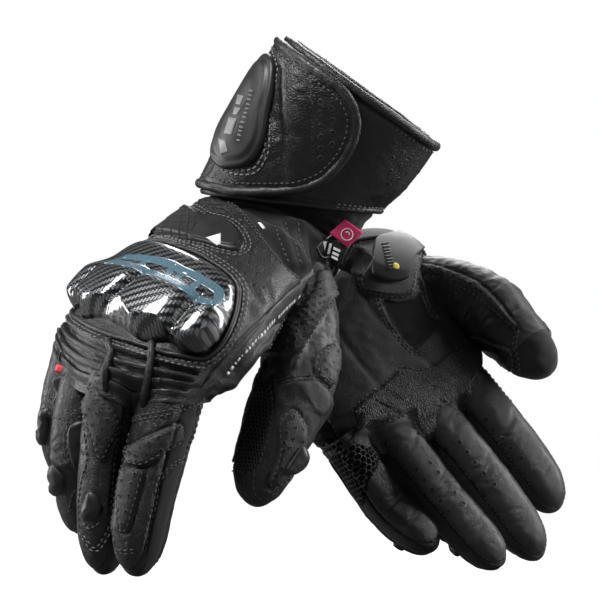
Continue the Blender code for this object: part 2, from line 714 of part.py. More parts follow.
def build_cuff(glove):
    """The cuff, and its closure flap hinged along the little finger side."""
    cuff = glove.cuff
    add_shell(glove.name("cuff_shell"), [cuff.ring(x, CUFF_SIDES) for x in CUFF_RINGS],
              cuff.centre(1.0), glove.wrist, glove.wrist_axis, CUFF_WALL)

    hinge = 190
    hinge_phi, hinge_height = math.radians(hinge), 3.0
    hinge_middle = (cuff.above(0.15, hinge_phi, hinge_height)
                    + cuff.above(1.85, hinge_phi, hinge_height)) * 0.5
    flap_axis = add_axis(glove.name("flap_axis"), hinge_middle, glove.wrist_axis)
    rows = [(0.10, hinge, 112), (0.28, hinge, 88), (0.6, hinge, 70), (1.0, hinge, 63),
            (1.4, hinge, 70), (1.7, hinge, 92), (1.9, hinge, 120)]
    add_patch(glove.name("cuff_flap"), cuff, rows, columns=10, thickness=3.0,
              finish="leather", origin=hinge_middle, parent=flap_axis, gap=1.5)

    # moulded guard on top of the flap
    rows = [(0.3, 170, 132), (0.6, 176, 122), (1.1, 176, 120), (1.5, 174, 128), (1.75, 168, 142)]
    add_patch(glove.name("cuff_guard"), cuff, rows, columns=6, thickness=3.0,
              finish="moulded", origin=hinge_middle, parent=flap_axis, gap=6.0)


def build_strap(glove):
    """Wrist strap sewn on the palm side, with its pull tab."""
    hand = glove.hand
    sewn, x_start, x_end = 246, 0.92, 1.32
    sewn_phi, sewn_height = math.radians(sewn), 2.4
    sewn_middle = (hand.above(x_start, sewn_phi, sewn_height)
                   + hand.above(x_end, sewn_phi, sewn_height)) * 0.5
    strap_axis = add_axis(glove.name("strap_axis"), sewn_middle, glove.hand_frame)
    rows = [(x_start, sewn, 366), (1.12, sewn, 368), (x_end, sewn, 366)]
    add_patch(glove.name("wrist_strap"), hand, rows, columns=12, thickness=2.0,
              finish="webbing", origin=sewn_middle, parent=strap_axis, gap=1.4)

    # the tab stands off the index side, beyond the strap's free end
    tab_x, tab_half_width = 1.1, 7.5
    across, along, back = hand.frame(tab_x)
    tab_root = hand.above(tab_x, math.radians(4.0), 5.0)
    rows = [[tab_root + along * (edge * tab_half_width) + across * distance
             for edge in (-1.0, 1.0)] for distance in (0.0, 6.0, 13.0)]
    name = glove.name("pull_tab")
    mesh = loft(name, rows, cyclic=False)
    face_along(mesh, back)
    add_piece(name, mesh, "webbing", sewn_middle, strap_axis, wall=1.8, wall_side=1.0)


def build_strap_loop(glove):
    """A closed wire loop on the index side of the wrist, a bevelled curve."""
    count, wire_radius, height = 14, 0.8, 2.2
    centre_x, half_x = 1.2, 0.42
    centre_phi, half_phi = math.radians(24.0), math.radians(9.0)
    squareness = 0.7              # below 1 squares the loop's corners
    points = []
    for angle in ring_angles(count):
        x = centre_x + half_x * signed_power(math.cos(angle), squareness)
        phi = centre_phi + half_phi * signed_power(math.sin(angle), squareness)
        points.append(glove.hand.above(x, phi, height))

    name = glove.name("strap_loop")
    origin = to_scene(points[0])
    curve = bpy.data.curves.new(name, "CURVE")
    curve.dimensions = "3D"
    spline = curve.splines.new("POLY")
    spline.points.add(count - 1)
    for spline_point, point in zip(spline.points, points):
        spline_point.co = (*(to_scene(point) - origin), 1.0)
    spline.use_cyclic_u = True
    curve.bevel_depth = wire_radius * MM
    curve.bevel_resolution = 1
    curve.use_fill_caps = True
    curve.materials.append(own_material("wire", name))
    loop = bpy.data.objects.new(name, curve)
    parts.objects.link(loop)
    loop.location = origin
    adopt(loop, glove.hand_frame)


def build_glove(side, sign, design):
    glove = Glove(side, sign, design)
    build_hand_and_gusset(glove)
    build_thumb(glove)
    for finger, points in design["fingers"].items():
        build_finger(glove, finger, points)
    build_back_pieces(glove)
    build_palm_pieces(glove)
    build_ulnar_panel(glove)
    build_cuff(glove)
    build_strap(glove)
    build_strap_loop(glove)


# --------------------------------------------------------------------- scene
for old in list(bpy.data.objects):
    bpy.data.objects.remove(old, do_unlink=True)

parts = new_collection("riding_gloves")
cutters = new_collection("riding_gloves_cutters")
build_glove("right", -1.0, RIGHT)
build_glove("left", 1.0, LEFT)
bpy.context.view_layer.update()
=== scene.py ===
"""The numpy code works in millimetres in the glove frame: X runs to the right of the front
view, Y away from the camera and Z up. The right glove lies at negative X, the left at
positive X, both with the fingers down. make_mesh turns this into metres in the CAD frame.

A place on a surface is a row (x, angle). On a hand x counts stations from the wrist to the
fingers, and the angle runs round it: 0 index side, 90 back of the hand, 180 little finger
side, 270 palm. "Path" and "outline" mean arrays of such rows.
"""
import math

import bmesh
import bpy
import numpy as np
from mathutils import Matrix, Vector
from mathutils.bvhtree import BVHTree


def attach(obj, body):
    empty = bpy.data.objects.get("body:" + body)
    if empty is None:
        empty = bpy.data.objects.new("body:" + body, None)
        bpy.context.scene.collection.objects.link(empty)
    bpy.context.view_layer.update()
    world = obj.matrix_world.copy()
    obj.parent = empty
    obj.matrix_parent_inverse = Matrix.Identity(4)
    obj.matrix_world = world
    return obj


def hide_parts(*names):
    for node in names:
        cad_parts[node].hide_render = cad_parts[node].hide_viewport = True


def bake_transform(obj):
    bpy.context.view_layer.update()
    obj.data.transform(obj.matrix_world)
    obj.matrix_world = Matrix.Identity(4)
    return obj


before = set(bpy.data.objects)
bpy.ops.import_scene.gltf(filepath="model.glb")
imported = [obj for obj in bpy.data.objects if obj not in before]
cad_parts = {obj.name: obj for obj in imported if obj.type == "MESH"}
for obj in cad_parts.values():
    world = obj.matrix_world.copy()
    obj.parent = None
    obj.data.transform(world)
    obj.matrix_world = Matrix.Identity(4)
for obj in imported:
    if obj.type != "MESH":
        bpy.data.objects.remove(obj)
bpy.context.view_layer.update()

MM = 0.001
SHIFT = np.array((-6.084, -50.459, 1.584))  # from the glove frame to the CAD frame
EYE = np.array((0.0, -1000.0, 40.0))  # the camera, in the glove frame
VIEW_RISE = 94.0  # climb of the view axis between the camera and the plane y = 0
STEP = 1.0
TURN = 2 * math.pi

# --------------------------------------------------------------- dimensions
# half width and half thickness at the root, and the seed of the leather's unevenness
FINGER_SIZE = {
    "index": (12.9, 13.2), "middle": (12.4, 13.0), "ring": (11.7, 12.2), "pinky": (10.9, 11.2)}
FINGER_SEED = {"index": 41, "middle": 43, "ring": 45, "pinky": 47}
THUMB_SIZES = [(15.5, 14.0), (18.2, 15.2), (19.0, 16.2), (16.9, 15.0), (14.4, 13.2), (11.5, 11.0)]

# Fingers: base joint, middle joint, last bend, fingertip.
# Hand stations: centre, across (little finger to index), along (wrist to fingers), then SIZES.
# Cuff stations: centre, across, along, width, thickness, lean.
SIZES = ("width", "thickness", "arch", "skew", "lean", "bow", "power", "hollow")
CUFF_POWER = 2.1
RIGHT = {
    "side": "right", "sign": -1.0,
    "finger_axis": (0.78, -0.60, -0.18),
    "fingers": {
        "index": [(-59.2, -74.7, 80.7), (-66.1, -76.0, 55.2), (-72.1, -75.9, 28.9),
                  (-75.1, -72.3, 0.0)],
        "middle": [(-84.5, -66.5, 86.7), (-88.5, -63.4, 58.7), (-90.9, -57.8, 29.6),
                   (-91.6, -51.2, 0.0)],
        "ring": [(-99.1, -47.2, 95.3), (-105.0, -45.9, 65.3), (-104.4, -38.0, 41.4),
                 (-103.7, -31.0, 18.0)],
        "pinky": [(-107.5, -23.1, 106.4), (-113.2, -23.9, 83.9), (-114.6, -20.4, 66.4),
                  (-114.3, -15.0, 46.0)],
    },
    "hand": [
        ((-4.0, 5.5, 183.0), (0.92, -0.12, -0.37), (-0.42, -0.02, -0.91),
         30.0, 21.0, 0, 0, 0, 0, 2.2, 0.5),
        ((-9.5, 2.6, 171.5), (0.93, -0.20, -0.31), (-0.50, -0.30, -0.82),
         33.5, 23.5, 0, 0, 0, 0, 2.3, 0.5),
        ((-25.0, -8.0, 157.0), (0.88, -0.40, -0.26), (-0.66, -0.46, -0.60),
         40.0, 22.5, 1.5, 0, 0, 0, 2.4, 0.5),
        ((-44.0, -26.0, 138.0), (0.80, -0.56, -0.22), (-0.68, -0.48, -0.55),
         47.0, 20.0, 5.0, 0, 2.0, -2.0, 2.6, 0.5),
        ((-60.0, -40.0, 116.5), (0.76, -0.62, -0.20), (-0.50, -0.24, -0.83),
         50.5, 19.5, 9.0, 1.0, 3.0, -3.0, 2.9, 0.5),
        ((-70.0, -41.0, 101.5), (0.77, -0.61, -0.19), (-0.27, 0.04, -0.96),
         51.0, 18.8, 17.0, 4.0, 4.0, -5.0, 3.4, 0.4),
        ((-76.7, -38.7, 89.8), (0.78, -0.60, -0.18), (-0.20, 0.14, -0.97),
         54.8, 20.9, 25.5, 7.3, 5.3, -6.9, 4.0, 0.75),
    ],
    "thumb": [(0.0, -15.0, 143.0), (1.0, -24.0, 118.0), (-1.4, -34.0, 92.2),
              (-10.5, -44.0, 67.7), (-17.1, -48.0, 50.0), (-22.3, -50.0, 32.0)],
    "thumb_axis": (0.90, 0.25, -0.37),
    "cuff": [
        ((-4.0, 4.0, 184.5), (0.87, 0.00, -0.39), (-0.40, 0.18, -0.90), 43.5, 31.5, -13.0),
        ((12.0, -3.5, 208.5), (0.84, 0.00, -0.54), (-0.52, 0.20, -0.83), 44.5, 34.0, -6.0),
        ((31.0, -12.0, 236.5), (0.79, 0.00, -0.61), (-0.58, 0.20, -0.79), 46.0, 37.0, 0.0),
    ],
}
LEFT = {
    "side": "left", "sign": 1.0,
    "finger_axis": (0.70, 0.44, 0.56),
    "fingers": {
        "index": [(87.7, 56.8, 91.3), (107.1, 55.5, 68.0), (121.6, 56.4, 48.5),
                  (134.4, 59.0, 28.3)],
        "middle": [(71.7, 46.5, 73.5), (92.6, 45.9, 47.8), (109.0, 46.8, 25.9),
                   (124.1, 49.0, 3.7)],
        "ring": [(50.8, 37.6, 62.8), (70.6, 37.9, 37.9), (88.1, 36.4, 17.2),
                 (103.0, 35.0, 0.0)],
        "pinky": [(27.8, 30.0, 56.5), (44.0, 33.5, 32.2), (55.7, 30.9, 20.9),
                  (69.5, 24.4, 10.4)],
    },
    "hand": [
        ((22.0, 115.0, 156.0), (0.88, 0.44, 0.16), (0.46, -0.87, -0.06),
         33.0, 21.0, 0, 0, 0, 0, 2.2, 0.5),
        ((30.5, 101.0, 156.5), (0.88, 0.36, 0.26), (0.36, -0.80, -0.44),
         36.0, 23.5, 0, 0, 0, 0, 2.3, 0.5),
        ((36.0, 83.0, 144.0), (0.86, 0.30, 0.36), (0.14, -0.52, -0.85),
         41.0, 22.5, 0, 0, 0, 0, 2.4, 0.5),
        ((39.0, 69.0, 122.0), (0.79, 0.34, 0.46), (0.25, -0.38, -0.88),
         47.0, 20.0, 0, 0, 2.0, -2.0, 2.6, 0.5),
        ((47.0, 56.0, 98.5), (0.74, 0.40, 0.52), (0.40, -0.24, -0.88),
         50.5, 19.5, 0, 0, 3.0, -7.0, 2.9, 0.5),
        ((54.5, 49.5, 83.0), (0.71, 0.43, 0.56), (0.50, -0.08, -0.85),
         51.0, 18.0, -1.5, -2.5, 4.0, -11.0, 3.4, 0.8),
        ((62.3, 45.8, 67.8), (0.70, 0.44, 0.56), (0.57, 0.07, -0.81),
         51.3, 17.0, -3.4, -4.8, 5.1, -14.8, 4.0, 1.0),
    ],
    "thumb": [(58.0, 88.0, 150.0), (77.0, 78.0, 146.5), (98.0, 67.0, 136.5),
              (111.0, 58.0, 123.0), (120.5, 51.0, 111.5), (132.0, 46.0, 100.5)],
    "thumb_axis": (0.60, 0.10, 0.79),
    "cuff": [
        ((19.0, 114.0, 154.0), (0.86, 0.46, 0.15), (0.46, -0.87, -0.12), 42.5, 31.5, -13.0),
        ((6.0, 138.0, 159.0), (0.86, 0.46, 0.19), (0.47, -0.86, -0.16), 44.5, 34.0, -6.0),
        ((-14.0, 173.0, 166.5), (0.86, 0.45, 0.22), (0.48, -0.85, -0.18), 46.0, 37.0, 0.0),
    ],
}


# ------------------------------------------------------------ surface maths
def unit(v):
    return v / np.maximum(np.linalg.norm(v, axis=-1, keepdims=True), 1e-12)


def dot(a, b):
    return (a * b).sum(-1, keepdims=True)


def smooth(x):
    x = np.clip(x, 0, 1)
    return x * x * (3 - 2 * x)


def bell(x):
    return np.exp(-x ** 2)


def signed_power(x, power):
    return np.sign(x) * np.abs(x) ** power


def quarter_round(x):
    """Height of a rounded edge: 0 at x = 0, 1 from x = 1."""
    return np.sqrt(np.maximum(1 - (1 - np.clip(x, 0, 1)) ** 2, 0))


def wrap(angle):
    """An angle brought into -pi to pi."""
    return (angle + math.pi) % TURN - math.pi


def catmull_rom(a, b, c, d, t):
    return 0.5 * (2 * b + (c - a) * t + (2 * a - 5 * b + 4 * c - d) * t ** 2
                  + (3 * b - a - 3 * c + d) * t ** 3)


def curve(values, x):
    """Catmull-Rom through evenly spaced values, carried on straight past both ends."""
    values = np.asarray(values, float)
    flat = values.ndim == 1
    if flat:
        values = values[:, None]
    count = len(values) - 1
    x = np.asarray(x, float)
    held = np.clip(x, 0.0, count)
    i = np.minimum(held.astype(int), count - 1)
    t = (held - i)[..., None]
    first, last = values[1] - values[0], values[-1] - values[-2]
    padded = np.vstack([2 * values[0] - values[1], values, 2 * values[-1] - values[-2]])
    out = catmull_rom(padded[i], padded[i + 1], padded[i + 2], padded[i + 3], t)
    over = (x - held)[..., None]
    out = out + np.where(over < 0, over * first, over * last)
    return out[..., 0] if flat else out


def spline(points, per=6, closed=False):
    """Smooth points through the given ones, per points to a span."""
    points = np.asarray(points, float)
    if len(points) < 3:
        t = np.linspace(0, 1, per * 3)[:, None]
        return points[0] * (1 - t) + points[-1] * t
    if closed:
        t = np.arange(per)[:, None] / per
        ring = np.vstack([points[-1], points, points[0], points[1]])
        return np.vstack([catmull_rom(*ring[k:k + 4], t) for k in range(len(points))])
    return curve(points, np.linspace(0, len(points) - 1, per * (len(points) - 1) + 1))


def degree_spline(points, per=6, closed=False):
    """A path from (x, degrees) points."""
    return spline(points, per, closed) * [1, math.pi / 180]


def run_length(points):
    """Distance travelled at each point of a 3-D line."""
    return np.concatenate([[0], np.cumsum(np.linalg.norm(np.diff(points, axis=0), axis=1))])


def rows_at(path, lengths, where):
    """Rows of a path at given distances along it."""
    return np.stack([np.interp(where, lengths, path[:, k]) for k in (0, 1)], -1)


def frames(points, normals):
    """Along, outward and across directions at each point of a line."""
    along = unit(np.gradient(points, axis=0))
    normals = unit(normals - along * dot(normals, along))
    return along, normals, np.cross(normals, along)


def ripple(points, wave, seed):
    """Smooth, repeatable unevenness between about -1 and 1."""
    count = 14
    rng = np.random.RandomState(seed)
    directions = unit(rng.normal(size=(count, 3)))
    rates = TURN / (wave * rng.uniform(0.7, 1.5, count))
    phases = rng.uniform(0, TURN, count)
    x, y, z = (points[..., k] for k in range(3))
    warp = 0.5 * wave * np.stack([np.sin(y * 1.7 / wave + seed),
                                  np.sin(z * 1.9 / wave + 2 * seed), np.sin(x * 1.5 / wave)], -1)
    warped = points + warp
    out = np.zeros(points.shape[:-1])
    for k in range(count):
        out += np.sin((warped @ directions[k]) * rates[k] + phases[k])
    return out / math.sqrt(count * 0.5) * 0.6


class Sleeve:
    """A hand or cuff: softly squared sections carried through a list of stations."""

    def __init__(self, stations, sign):
        columns = list(zip(*stations))
        self.centres = np.array(columns[0], float)
        self.across, self.along = (unit(np.array(c, float)) for c in columns[1:3])
        self.sizes = dict(zip(SIZES, np.array(columns[3:], float)))
        self.sign = sign

    def frame(self, x):
        """Centre, across, along and outward (towards the back of the hand)."""
        along = unit(curve(self.along, x))
        across = curve(self.across, x)
        across = unit(across - along * dot(along, across))
        return curve(self.centres, x), across, along, np.cross(across, along) * self.sign

    def point(self, x, angle):
        x, angle = np.broadcast_arrays(np.asarray(x, float), np.asarray(angle, float))
        centre, across, along, outward = self.frame(x)
        size = {key: curve(values, x) for key, values in self.sizes.items()}
        side = signed_power(np.cos(angle), 2.0 / size["power"])
        rise = signed_power(np.sin(angle), 2.0 / size["power"])
        arch = size["arch"]
        arch = np.where(rise < 0, arch * (1 + rise * (1 - size["hollow"])), arch)
        lift = size["thickness"] * rise + arch * (1 - side * side) + size["skew"] * side
        forward = size["lean"] * side + size["bow"] * side * side
        return (centre + across * (size["width"] * side)[..., None]
                + outward * lift[..., None] + along * forward[..., None])


class Digit:
    """A finger or thumb: a softly squared tube along a smooth path, rounded at the end."""

    def __init__(self, points, lateral, sign, sizes, power, tip):
        self.centres = np.array(points, float)
        self.lateral = unit(np.array(lateral, float))
        self.sizes = np.array(sizes, float)
        self.sign, self.power, self.tip = sign, power, tip
        self.end = len(points) - 1

    def frame(self, x):
        along = unit(curve(self.centres, x + 0.03) - curve(self.centres, x - 0.03))
        lateral = np.broadcast_to(self.lateral, along.shape)
        across = unit(self.lateral - along * dot(along, lateral))
        return curve(self.centres, x), across, along, np.cross(across, along) * self.sign

    def point(self, x, angle):
        x, angle = np.broadcast_arrays(np.asarray(x, float), np.asarray(angle, float))
        centre, across, _, outward = self.frame(x)
        size = curve(self.sizes, x)
        close = np.clip((x - (self.end - self.tip)) / self.tip, 0, 1)
        close = np.sqrt(np.maximum(1 - close ** 2.6, 0))
        power = 2.0 / self.power
        side = size[..., 0] * close * signed_power(np.cos(angle), power)
        rise = size[..., 1] * close * signed_power(np.sin(angle), power)
        return centre + across * side[..., None] + outward * rise[..., None]


def frame_at(host, x):
    """Centre, across, along and outward at one place along a sleeve or digit."""
    return [v[0] for v in host.frame(np.array([x]))]


def even_rows(host, stops, steps):
    """x values, evenly spaced in millimetres between each pair of stops."""
    pieces = []
    for start, stop, step in zip(stops, stops[1:], steps):
        xs = np.linspace(start, stop, 600)
        lengths = run_length(host.frame(xs)[0])
        count = max(int(lengths[-1] / (step * STEP)), 4)
        pieces.append(np.interp(np.linspace(0, lengths[-1], count), lengths, xs))
    return np.concatenate(pieces[:1] + [piece[1:] for piece in pieces[1:]])


# ------------------------------------------------------------------- meshes
def make_mesh(name, vertices, quads, tris=(), materials=(), part=None, uv=None):
    """An object from millimetre vertices; uv holds one pair per loop."""
    quads = np.asarray(quads, np.int32).reshape(-1, 4)
    tris = np.asarray(tris, np.int32).reshape(-1, 3)
    mesh = bpy.data.meshes.new(name)
    mesh.vertices.add(len(vertices))
    mesh.vertices.foreach_set("co", ((vertices + SHIFT) * MM).astype(np.float32).ravel())
    loops = np.concatenate([quads.ravel(), tris.ravel()])
    mesh.loops.add(len(loops))
    mesh.loops.foreach_set("vertex_index", loops)
    mesh.polygons.add(len(quads) + len(tris))
    sizes = np.repeat([4, 3], [len(quads), len(tris)]).astype(np.int32)
    starts = (np.cumsum(sizes) - sizes).astype(np.int32)
    mesh.polygons.foreach_set("loop_start", starts)
    mesh.polygons.foreach_set("loop_total", sizes)
    mesh.polygons.foreach_set("use_smooth", np.ones(len(sizes), bool))
    for key in materials:
        mesh.materials.append(MATERIALS[key])
    if part is not None:
        mesh.polygons.foreach_set("material_index", np.asarray(part, np.int32))
    if uv is not None:
        layer = mesh.uv_layers.new(name="weave")
        layer.data.foreach_set("uv", np.asarray(uv, np.float32).ravel())
    mesh.update(calc_edges=True)
    mesh.validate()
    ob = bpy.data.objects.new(name, mesh)
    bpy.context.scene.collection.objects.link(ob)
    return ob


def grid_faces(rows, columns, closed, ring=False):
    """Quads of a grid; closed joins the last column to the first, ring the rows."""
    i, j = np.meshgrid(np.arange(rows if ring else rows - 1),
                       np.arange(columns if closed else columns - 1), indexing="ij")
    j2, i2 = (j + 1) % columns, (i + 1) % rows
    corners = [i * columns + j, i * columns + j2, i2 * columns + j2, i2 * columns + j]
    return np.stack(corners, -1).reshape(-1, 4)


def fan(hub, first, sides, flip=False):
    """Triangles from a hub to a ring of vertices."""
    j = np.arange(sides)
    a, b = first + j, first + (j + 1) % sides
    return np.stack([np.full(sides, hub), b, a] if flip else [np.full(sides, hub), a, b], -1)


def tube_faces(rings, sides):
    """Faces of a tube whose two end points follow its rings."""
    hub = rings * sides
    return (grid_faces(rings, sides, True)[:, ::-1],
            np.vstack([fan(hub, 0, sides), fan(hub + 1, hub - sides, sides, flip=True)]))


def closed_loop(points):
    return np.vstack([points, points[:1]])


class Skin:
    """A fine grid over a host surface, raised by a height field.

    rig(x) gives the rig of the place x. base and normal are the smooth form,
    top and top_normal the sculpted one, made by settle."""

    def __init__(self, host, xs, columns, rig, materials=(), arc=None, lift=0.0):
        self.host, self.xs, self.columns = host, xs, columns
        self.rig, self.materials = rig, materials
        self.closed = arc is None
        self.spans = columns if self.closed else columns - 1
        self.start, self.stop = (math.radians(a) for a in arc or (0.0, 360.0))
        angles = self.start + (self.stop - self.start) * np.arange(columns) / self.spans
        self.x, self.angle = np.meshgrid(self.xs, angles, indexing="ij")
        self.base = host.point(self.x, self.angle)
        self.normal = self.normals(self.base)
        if lift:
            self.base = self.base + self.normal * lift
        self.height = np.zeros(self.x.shape)
        self.part = np.zeros(self.x.shape, int)  # material slot at each point
        self.trees = {}

    def normals(self, points):
        if self.closed:
            round_ = np.roll(points, -1, 1) - np.roll(points, 1, 1)
        else:
            round_ = np.gradient(points, axis=1)
        normal = np.cross(np.gradient(points, axis=0), round_)
        bad = np.linalg.norm(normal, axis=-1) < 1e-9
        normal = unit(normal)
        centre = self.host.frame(self.xs)[0]
        sign = np.sign((normal * (points - centre[:, None, :])).sum())
        normal = normal * (sign if sign else 1.0)
        if bad.any():
            along = unit(np.gradient(centre, axis=0))[:, None, :]
            normal[bad] = np.broadcast_to(along, points.shape)[bad]
        return normal

    def tree(self, lift=0.0):
        """Search tree, vertices and faces of the smooth form, lifted."""
        if lift not in self.trees:
            vertices = (self.base + self.normal * lift).reshape(-1, 3)
            faces = grid_faces(*self.x.shape, self.closed)
            tree = BVHTree.FromPolygons(vertices.tolist(), faces.tolist())
            self.trees[lift] = (tree, vertices, faces)
        return self.trees[lift]

    def row_of(self, hit, lift=0.0):
        """The (x, angle) of a tree hit, solved inside its quad."""
        _, vertices, faces = self.tree(lift)
        i, j = divmod(hit[2], self.spans)
        a, b, c, d = vertices[faces[hit[2]]]
        target = np.array(hit[0])
        u = v = 0.5
        for _ in range(4):
            guess = a * (1 - u) * (1 - v) + b * u * (1 - v) + c * u * v + d * (1 - u) * v
            by_u = (b - a) * (1 - v) + (c - d) * v
            by_v = (d - a) * (1 - u) + (c - b) * u
            matrix = np.array([[by_u @ by_u, by_u @ by_v], [by_u @ by_v, by_v @ by_v]])
            miss = [by_u @ (target - guess), by_v @ (target - guess)]
            du, dv = np.linalg.solve(matrix + np.eye(2) * 1e-9, miss)
            u, v = min(max(u + du, -0.2), 1.2), min(max(v + dv, -0.2), 1.2)
        x = self.xs[i] + (self.xs[i + 1] - self.xs[i]) * v
        return x, self.start + (self.stop - self.start) / self.spans * (j + u)

    def pick(self, points, lift=0.0):
        """Rows where the sight lines through (x, z) points of the plane y = 0 meet the skin."""
        tree = self.tree(lift)[0]
        middle = self.base.reshape(-1, 3).mean(0)
        out = []
        for x, z in points:
            sight = sight_line(x, z)
            hit = tree.ray_cast(Vector(EYE), Vector(sight), 3000.0)
            if hit[0] is None:  # the line misses: take the nearest place to it
                reach = (middle - EYE) @ sight
                tries = [tree.find_nearest(Vector(EYE + sight * s))
                         for s in np.linspace(reach - 90, reach + 90, 46)]
                hit = min((t for t in tries if t[0] is not None), key=lambda t: t[3])
            out.append(self.row_of(hit, lift))
        out = np.array(out)
        out[:, 1] = np.unwrap(out[:, 1])
        return out

    def locate(self, points):
        """Rows nearest to 3-D points."""
        tree = self.tree()[0]
        out = np.array([self.row_of(tree.find_nearest(Vector(p))) for p in points])
        out[:, 1] = np.unwrap(out[:, 1])
        return out

    def sample(self, field, x, angle):
        """A grid field, interpolated at (x, angle)."""
        rows, columns = self.x.shape
        i = np.interp(x, self.xs, np.arange(rows))
        j = (np.asarray(angle) - self.start) / (self.stop - self.start) * self.spans
        i0 = np.clip(np.floor(i).astype(int), 0, rows - 2)
        u = np.clip(i - i0, 0, 1)
        j0 = np.floor(j).astype(int)
        if self.closed:
            v = j - j0
            j0, j1 = j0 % columns, (j0 + 1) % columns
        else:
            j0 = np.clip(j0, 0, columns - 2)
            v = np.clip(j - j0, 0, 1)
            j1 = j0 + 1
        if field.ndim == 3:
            u, v = u[..., None], v[..., None]
        return (field[i0, j0] * (1 - u) * (1 - v) + field[i0, j1] * (1 - u) * v
                + field[i0 + 1, j0] * u * (1 - v) + field[i0 + 1, j1] * u * v)

    def settle(self):
        """Freeze the height field."""
        self.top = self.base + self.normal * self.height[..., None]
        self.top_normal = self.normals(self.top)

    def at(self, path, lift=0.0):
        """Points and normals of the finished surface."""
        normals = unit(self.sample(self.top_normal, path[:, 0], path[:, 1]))
        return self.sample(self.top, path[:, 0], path[:, 1]) + normals * lift, normals

    # -- sculpting
    def near(self, path, margin, closed=False):
        """Mask of grid points near a path, and their distance to it."""
        points = self.sample(self.base, path[:, 0], path[:, 1])
        low, high = points.min(0) - margin, points.max(0) + margin
        mask = np.all((self.base > low) & (self.base < high), axis=-1)
        grid = self.base[mask]
        best = np.full(len(grid), 1e9)
        for k in range(len(points) if closed else len(points) - 1):
            start = points[k]
            span = points[(k + 1) % len(points)] - start
            t = np.clip(((grid - start) @ span) / max(span @ span, 1e-9), 0, 1)
            best = np.minimum(best, ((grid - start - t[:, None] * span) ** 2).sum(1))
        return mask, np.sqrt(best)

    def rim_distance(self, outline, margin, far):
        """Distance of every grid point to an outline; far where beyond the margin."""
        mask, distance = self.near(outline, margin, True)
        out = np.full(self.x.shape, far)
        out[mask] = distance
        return out

    def inside(self, outline, x=None, angle=None):
        """Even-odd test in the (x, angle) plane, of the grid unless places are given."""
        x = self.x if x is None else x
        angle = self.angle if angle is None else angle
        middle = (outline[:, 1].max() + outline[:, 1].min()) / 2
        angle = wrap(angle - middle) + middle
        out = np.zeros(x.shape, bool)
        for k in range(len(outline)):
            x0, angle0 = outline[k]
            x1, angle1 = outline[(k + 1) % len(outline)]
            if x0 == x1:
                continue
            crossed = (x >= min(x0, x1)) & (x < max(x0, x1))
            out ^= crossed & (angle < angle0 + (x - x0) * (angle1 - angle0) / (x1 - x0))
        return out

    def paint(self, mask, material):
        self.part[mask] = self.materials.index(material)

    def pad(self, outline, height, edge, material=None, crown=0.0, reach=10.0):
        """Raise the inside of an outline, with a rounded edge and a slight crown."""
        inside = self.inside(outline)
        distance = self.rim_distance(outline, 3.0, 99.0)
        rise = height * quarter_round(distance / edge) + crown * smooth(distance / reach)
        self.height += np.where(inside, rise, 0.0)
        if material is not None:
            self.paint(inside, material)

    def ridge(self, path, width, height, closed=False):
        """A rounded ridge along a path, or a groove where the height is negative."""
        mask, distance = self.near(path, width * 3, closed)
        self.height[mask] += height * bell(distance / width)

    def roughen(self, amount, seed, waves=(22.0, 9.0)):
        self.height += amount * ripple(self.base, waves[0], seed)
        self.height += amount * 0.45 * ripple(self.base, waves[1], seed + 1)

    def crease(self, centre, spread, count, depth, seed, middle, span):
        """Bending creases around x = centre, fading span degrees from the middle angle."""
        rng = np.random.RandomState(seed)
        fade = smooth(1.35 - np.abs(wrap(self.angle - math.radians(middle))) / math.radians(span))
        for k in range(count):
            place = centre + spread * (k - (count - 1) / 2) / (count - 1) * 2
            wobble = (0.05 * np.sin(self.angle * rng.randint(2, 5) + rng.uniform(0, 6))
                      + 0.03 * np.sin(self.angle * 7 + k))
            self.height -= (depth * fade * bell((self.x - place - wobble) / 0.045)
                            * (0.75 + 0.25 * np.sin(self.angle * 3 + k)))

    def build(self, name, rows=None, cap=None):
        """Mesh of the grid rows in a range, optionally closed with a pole."""
        first, last = rows or (0, len(self.xs) - 1)
        top = self.top[first:last + 1]
        count, columns = top.shape[:2]
        part = self.part[first:last + 1]
        slots = part[:-1].reshape(-1)
        # UVs in centimetres along and round the piece
        along = run_length(self.base.mean(1))[first:last + 1] / 10
        girth = np.linalg.norm(np.diff(self.base, axis=1), axis=-1).sum(1).mean() / 10
        i, j = np.meshgrid(np.arange(count - 1), np.arange(columns), indexing="ij")
        corners = [np.stack([(j + dj) / columns * girth, along[i + di]], -1)
                   for dj, di in ((0, 0), (1, 0), (1, 1), (0, 1))]
        uv = np.stack(corners, 2).reshape(-1, 2)
        vertices = top.reshape(-1, 3)
        tris = ()
        if cap is not None:
            tris = np.roll(fan(len(vertices), (count - 1) * columns, columns), -1, axis=1)
            vertices = np.vstack([vertices, cap[None]])
            slots = np.concatenate([slots, part[-1]])
            uv = np.concatenate([uv, np.tile([[0.0, along[-1]]], (3 * columns, 1))])
        return make_mesh(name, vertices, grid_faces(count, columns, True), tris,
                         self.materials, slots, uv)


def sight_line(x, z):
    """Direction from the eye through a point (x, z) of the plane y = 0."""
    direction = np.array((x, 0.0, z)) - EYE
    return direction / np.linalg.norm(direction)


def orient(ob):
    """Turn the face normals of a closed piece outwards."""
    mesh = bmesh.new()
    mesh.from_mesh(ob.data)
    bmesh.ops.recalc_face_normals(mesh, faces=mesh.faces)
    mesh.to_mesh(ob.data)
    mesh.free()


